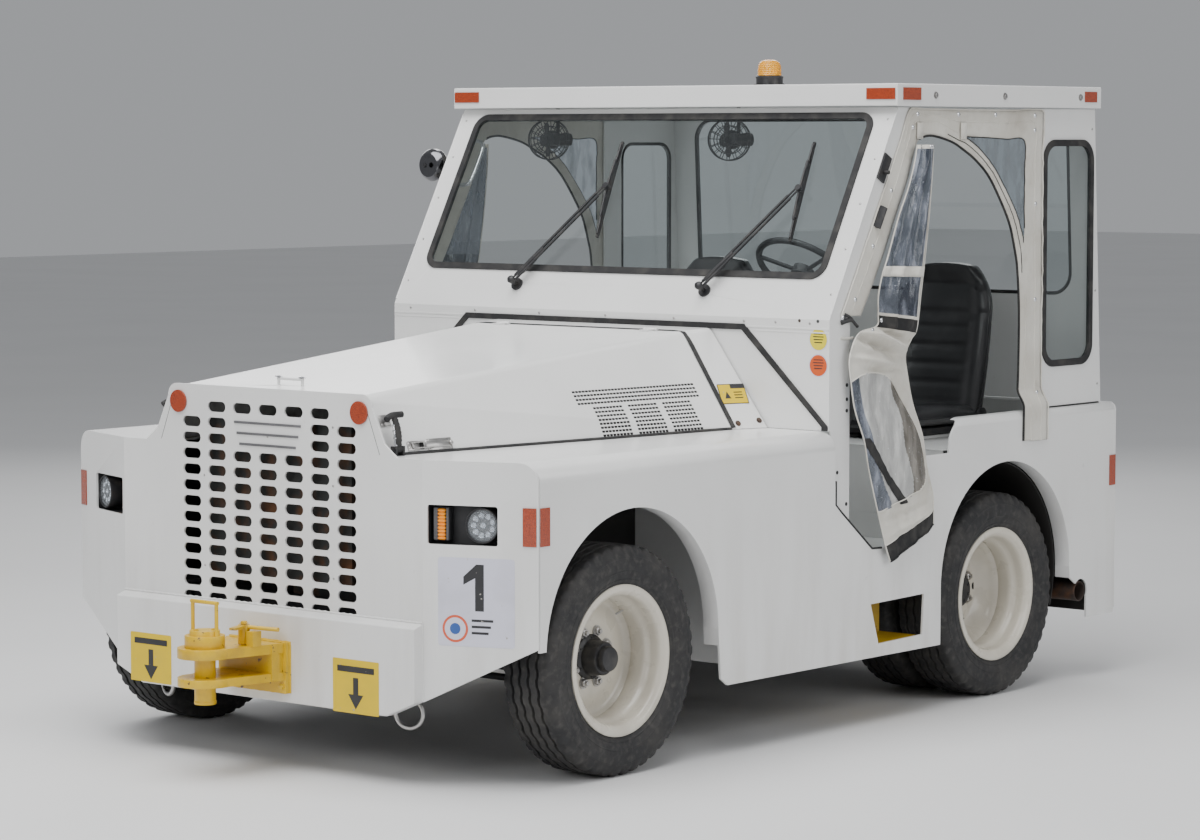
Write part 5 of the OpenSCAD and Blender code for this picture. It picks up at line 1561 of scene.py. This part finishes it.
def flap_point(s, lines, u, k, lift=0.0):
    """u runs from the front edge to the rear edge of the gathered door, k over its rows, with fractions."""
    i = min(int(k), len(lines[0]) - 2)
    p = lines[0][i].lerp(lines[0][i + 1], k - i).lerp(lines[1][i].lerp(lines[1][i + 1], k - i), u)
    t = k / (len(lines[0]) - 1)
    low = min(max((1.16 - p.z) / 0.16, 0), 1)
    low = low * low * (3 - 2 * low)
    edge = sin(pi * min(max(u, 0), 1)) ** 0.35
    top = min(max((p.z - 1.40) / 0.06, 0), 1)
    gather = (sin(2 * pi * (2.4 * u + 0.35 * sin(4.0 * t) + 0.10)) * 0.62
              + sin(2 * pi * (4.3 * u - 0.55 * t)) * 0.30)
    drape = sin(2 * pi * (1.25 * u + 0.25)) * 0.5 + 0.35 * sin(2 * pi * (2.6 * u + 1.1 * t))
    wrinkle = noise.noise(V((p.y * 13 + p.z * 8, p.z * 15 - p.y * 9, 2.0 * s)))
    fine = noise.noise(V((p.y * 34, p.z * 14, 5.0 * s)))
    crumple = exp(-((p.z - 1.355) / 0.065) ** 2)
    x = 1.0670 + 0.0235 * low + 0.012 * sin(pi * u)
    x += edge * (0.0165 * gather * top + (0.0065 + 0.002 * low) * drape * (1 - top)
                 + crumple * 0.020 * wrinkle + 0.0042 * fine + fold_height(p)) + lift
    least = (SIDE_X + 0.0035) if p.z < 1.075 else (WALL_X + 0.0065)
    return V((s * min(max(x, least), WALL_X + 0.078), p.y, p.z))


def inside(outline, x, y):
    """Whether a point lies inside an outline."""
    hit = False
    for (x0, y0), (x1, y1) in zip(outline, outline[1:] + outline[:1]):
        if (y0 > y) != (y1 > y) and x < x0 + (y - y0) / (y1 - y0) * (x1 - x0):
            hit = not hit
    return hit


def flap_mats(u, row, z):
    """Which cloth lies at a place of the door: 0 canvas, 1 clear, 2 web, 3 black, 4 milky, 5 darker clear."""
    if 0.25 < row < BAND_ROWS[0] - 0.10 and u < 0.975:
        return 1
    if row < BAND_ROWS[0]:
        return 2
    if row < BAND_ROWS[1]:
        return 3
    if row > HEM_ROW:
        return 3
    if inside(FLAP_WINDOW, u, z):
        if u < 0.13 + 0.10 * max(0, (0.95 - z) / 0.15):
            return 1
        # the oval window's rear part gets the darker clear vinyl
        return 4 if u < 0.66 + 0.03 * sin(30 * z) else 5
    return 0


def on_flap(s, lines, u, z, lift):
    """The place of (share across, height) on the gathered door."""
    last = len(lines[0]) - 1
    k = min(range(last + 1), key=lambda i: abs(lines[0][i].lerp(lines[1][i], u).z - z))
    return flap_point(s, lines, u, k, lift)


def door_flap(s):
    name = side_of(s)
    lines = flap_lines()
    down = (len(FLAP) - 1) * FLAP_STEPS
    rows = [[flap_point(s, lines, i / FLAP_ACROSS, k) for i in range(FLAP_ACROSS + 1)]
            for k in range(down + 1)]
    verts, faces = grid(rows)
    mats = []
    for k in range(down):
        for i in range(FLAP_ACROSS):
            z = 0.5 * (rows[k][i].z + rows[k + 1][i + 1].z)
            mats.append(flap_mats((i + 0.5) / FLAP_ACROSS, (k + 0.5) / FLAP_STEPS, z))
    cloth = piece("door_flap_" + name, verts, faces, ([CANVAS, CLEAR, WEB, HEM, MILKY, DARKER_CLEAR], mats),
                  "chassis")
    thicken(cloth, 0.0012, 0)
    length = sum((a - b).length for a, b in zip(lines[0], lines[0][1:]))
    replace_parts(cloth, "door_flaps")
    trim = Shape()
    outline = [on_flap(s, lines, u, z, 0.0010) for u, z in FLAP_WINDOW]
    trim.bar(curve(outline, 6), 0.0026, 1, 6)
    for u in (0.0, 1.0):
        trim.bar([flap_point(s, lines, u, k, 0.0006) for k in range(down + 1)], 0.0026, 1, 6)
    for row, mat, r in ((BAND_ROWS[0], 1, 0.0034), (BAND_ROWS[1], 0, 0.0022), (HEM_ROW, 1, 0.0018),
                        (len(FLAP) - 1, 0, 0.0034)):
        trim.bar([flap_point(s, lines, i / 60, row * FLAP_STEPS, 0.0010) for i in range(61)], r, mat, 6)
    sash = []
    for k in range(31):
        u, z = 0.02 + 0.42 * k / 30, 1.030 - 0.245 * k / 30
        sash.append([on_flap(s, lines, min(max(u + d, 0.0), 1.0), z + d * 0.10, 0.0024)
                     for d in (-0.055, -0.028, 0.0, 0.028, 0.055)])
    trim.add(*grid(sash), 0)
    seams = trim.make("flap_trim_" + name, [HEM, WEB], sharp=60)
    strap = Shape()
    strap.add(*grid([[flap_point(s, lines, i / 40, STRAP_ROW * FLAP_STEPS + 3.0 * j, 0.0035)
                      for j in range(4)]
                     for i in range(41)]), 0)
    tie = strap.make("flap_strap_" + name, WEB, sharp=60)
    thicken(tie, 0.002, 1)
    hooks = Shape()
    for u, row in ((0.07, 7.4), (0.50, 0.12), (0.15, 0.12), (0.85, 0.12), (0.05, 8.6)):
        p = flap_point(s, lines, u, row * FLAP_STEPS, 0.001)
        hooks.lathe([(0.0085, 0.0), (0.0085, 0.0015), (0.0060, 0.0035), (0.0, 0.0040)], p, (s, 0, 0), 20)
    hooks.make("flap_snaps_" + name, CHROME, sharp=50)
    hook = Shape()
    x = WALL_X + 0.004
    hook.bar([(s * x, 1.222, 1.470), (s * (x + 0.010), 1.236, 1.462), (s * (x + 0.014), 1.262, 1.440),
              (s * (x + 0.012), 1.285, 1.425)], 0.0060, 0, 8)
    hook.bar([(s * x, 1.205, 1.440), (s * (x + 0.006), 1.222, 1.446), (s * (x + 0.012), 1.250, 1.452)],
             0.0085, 0, 8)
    hook.lathe([(0.012, 0.0), (0.012, 0.004), (0.007, 0.008), (0.0, 0.008)],
               (s * (WALL_X + 0.0004), 1.215, 1.458), (s, 0, 0), 18, 1)
    hook.bar([(s * x, 1.205, 1.386), (s * (x + 0.004), 1.230, 1.384), (s * (x + 0.008), 1.262, 1.386)],
             0.0070, 2, 8, 0.5)
    hook.bar([(s * (surround_x(1.8) + 0.0062), 1.402 + 0.042 * v, 1.773 + 0.072 * v)
              for v in (0, 0.25, 0.5, 0.75, 1)], 0.0200, 0, 10, 0.22)
    hook.make("door_hook_" + name, [BLACK, CHROME, WEB], sharp=50)


# (y, z) down the doorway's lower front corner
DOORWAY_CORNER = [(1.143, 0.890), (1.143, 0.806), (1.175, 0.779), (1.270, 0.7055), (1.362, 0.634),
                  (1.420, 0.632)]


def doorway_edges(s):
    """Black edging on the doorway's lower front corner, and a black strip as painted shade in the gap under the
    cab's rear wall.
    """
    name = side_of(s)
    edging = Shape()
    edging.bar([(s * (SIDE_X - 0.001), y, z) for y, z in DOORWAY_CORNER], 0.0042, 0, 8)
    # a black strip along the gap under the cab's rear wall: painted shade of the gap
    edging.bar([(s * (WALL_X + 0.0005), y, 1.0665) for y in (2.500, 2.600, 2.750, 2.905)], 0.0042, 0, 8)
    edging.make("doorway_edging_" + name, RUBBER, sharp=50)


for sign in (1, -1):
    door_surround(sign)
    door_flap(sign)
    doorway_edges(sign)


# ---------------- hitch, tail and underside details

def hitch_details():
    """Weld beads and bolts on the front hitch and the rear one, and the front pin's bolted cap."""
    beads = Shape()
    for way, face in ((1, BUMPER_Y), (-1, TAIL_Y)):
        corners = [(x, face, z) for x, z in ((0.1405, 0.262), (0.1405, 0.430), (-0.1405, 0.430),
                                             (-0.1405, 0.262))]
        path = []
        for a, b in zip(corners, corners[1:] + corners[:1]):
            path += [V(a).lerp(V(b), k / 14) + V((0, -way * 0.001, 0.0012 * sin(k * 2.4))) for k in range(14)]
        beads.bar(path, 0.0042, 0, 7)
        for z in (0.332, 0.397, 0.431, 0.304):
            path = [V((x / 100, face - way * 0.0205, z + 0.0008 * sin(x * 1.7))) for x in range(-12, 13)]
            beads.bar(path, 0.0032, 0, 6)
    beads.make("hitch_welds", YELLOW, sharp=60)
    bolts = Shape()
    for x, z in ((-0.120, 0.285), (0.120, 0.285), (-0.120, 0.408), (0.120, 0.408)):
        bolts.bolt((x, BUMPER_Y - 0.020, z), (0, -1, 0), 0.010, 0.007)
        bolts.bolt((x, TAIL_Y + 0.020, z), (0, 1, 0), 0.010, 0.007)
    bolts.bolt((0.055, -0.760, 0.500), (0, 0, 1), 0.011, 0.008)
    bolts.make("hitch_bolts", YELLOW, sharp=40)
    cap = Shape()
    for a in (radians(60), radians(240)):
        cap.bolt((0.030 * cos(a), -0.885 + 0.030 * sin(a), 0.486), (0, 0, 1), 0.007, 0.005)
    cap.lathe([(0.0355, 0.2435), (0.0365, 0.2455), (0.0365, 0.2530), (0.0352, 0.2550)], (0, -0.885, 0),
              (0, 0, 1), 40)
    cap.make("hitch_pin_cap", YELLOW, "hitch_pin_front", sharp=40)


def tie_down(s):
    """Bright wire ring over the CAD loop's line."""
    name = side_of(s)
    ring = Shape()
    c = V((s * 0.565, -0.515, 0.224))
    across = V((cos(radians(20)), s * sin(radians(20)), 0))
    path = [c + across * (0.048 * cos(a)) + V((0, 0, 0.048 * sin(a)))
            for a in (2 * pi * k / 48 for k in range(48))]
    ring.bar(path, 0.0076, steps=12, closed=True)
    ring.make("tie_down_ring_" + name, STEEL, sharp=60)


def bumper_weld():
    """The bead along the bumper's upper edge and its ends."""
    bead = Shape()
    path = [V((-NOSE_X + 2 * NOSE_X * k / 160, NOSE_Y - 0.001, 0.5375 + 0.0012 * sin(k * 1.9)))
            for k in range(161)]
    bead.bar(path, 0.0045, 0, 7)
    for s in (1, -1):
        path = [V((s * NOSE_X, NOSE_Y - 0.001, 0.285 + 0.25 * k / 50 + 0.001 * sin(k * 2.3)))
                for k in range(51)]
        bead.bar(path, 0.0035, 0, 7)
    bead.make("bumper_weld", CREAM, sharp=60)


def grille_screws():
    screws = Shape()
    for x, z in ((0.300, 1.146), (0.300, 0.955), (0.300, 0.650), (-0.300, 0.955), (-0.300, 0.650),
                 (0.0, 1.100)):
        screws.rivet((x, NOSE_Y, z), (0, -1, 0), 0.0045, 0.002)
    screws.make("grille_screws", STEEL, sharp=50)
    badge = Shape()
    for k in range(3):
        half = 0.155 - 0.012 * k
        z = 1.142 - 0.036 * k
        badge.block((-half, NOSE_Y - 0.0035, z - 0.004), (half, NOSE_Y - 0.0002, z + 0.004), 0)
    badge.make("grille_bars", GREY, sharp=40)


def exhaust_tip():
    tip = Shape()
    x, y, z = 1.060, 2.744, 0.347
    tip.turned([(0.0350, -0.030), (0.0382, -0.030), (0.0392, -0.004), (0.0384, -0.0005), (0.0360, -0.0005),
                (0.0350, -0.006)],
           (x, y, z), (1, 0, 0), 48)
    tip.turned([(0.0384, -0.30), (0.0410, -0.298), (0.0410, -0.272), (0.0384, -0.270)], (x, y, z), (1, 0, 0),
               48)
    tip.make("exhaust_tip", RUST, sharp=60)


def tail_lamps():
    """Round tail lamps and a plate holder on the rear panel."""
    for s, name in ((1, "left"), (-1, "right")):
        for z, mat, part in ((0.820, RED, "stop"), (0.690, ORANGE, "turn")):
            lamp = Shape()
            at = V((s * 0.860, TAIL_Y, z))
            lamp.lathe([(0.058, 0.0), (0.060, 0.010), (0.056, 0.016), (0.051, 0.016)], at, (0, 1, 0), 48, 0,
                       caps=False)
            lamp.lathe([(0.0512, 0.012), (0.0505, 0.018), (0.040, 0.0235), (0.020, 0.0260), (0.0, 0.0265)],
                       at, (0, 1, 0), 48, 1)
            lamp.make("tail_" + part + "_" + name, [RUBBER, mat], sharp=50)
    plate = Shape()
    plate.block((-0.78, TAIL_Y + 0.0003, 0.640), (-0.60, TAIL_Y + 0.003, 0.760), 0)
    for x in (-0.765, -0.615):
        plate.bolt((x, TAIL_Y + 0.003, 0.742), (0, 1, 0), 0.005, 0.004, 1)
    plate.make("plate_holder", [GREY, STEEL], sharp=40)


hitch_details()
bumper_weld()
grille_screws()
exhaust_tip()
tail_lamps()
for sign in (1, -1):
    tie_down(sign)


# ---------------- stage

def make_floor():
    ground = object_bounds()[0][2]
    floor = piece("floor", [(-40, -40, ground), (40, -40, ground), (40, 60, ground), (-40, 60, ground)],
                  [[0, 1, 2, 3]], floor_material(), "chassis", smooth=False)
    floor.parent = None
    del floor["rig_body"]


def floor_material():
    m = Material("floor", (0.72, 0.72, 0.72), 0.6)
    m.clouds(0.6, 4, 0.4, 0.8, (0.69, 0.69, 0.69))
    return m.mat


make_floor()
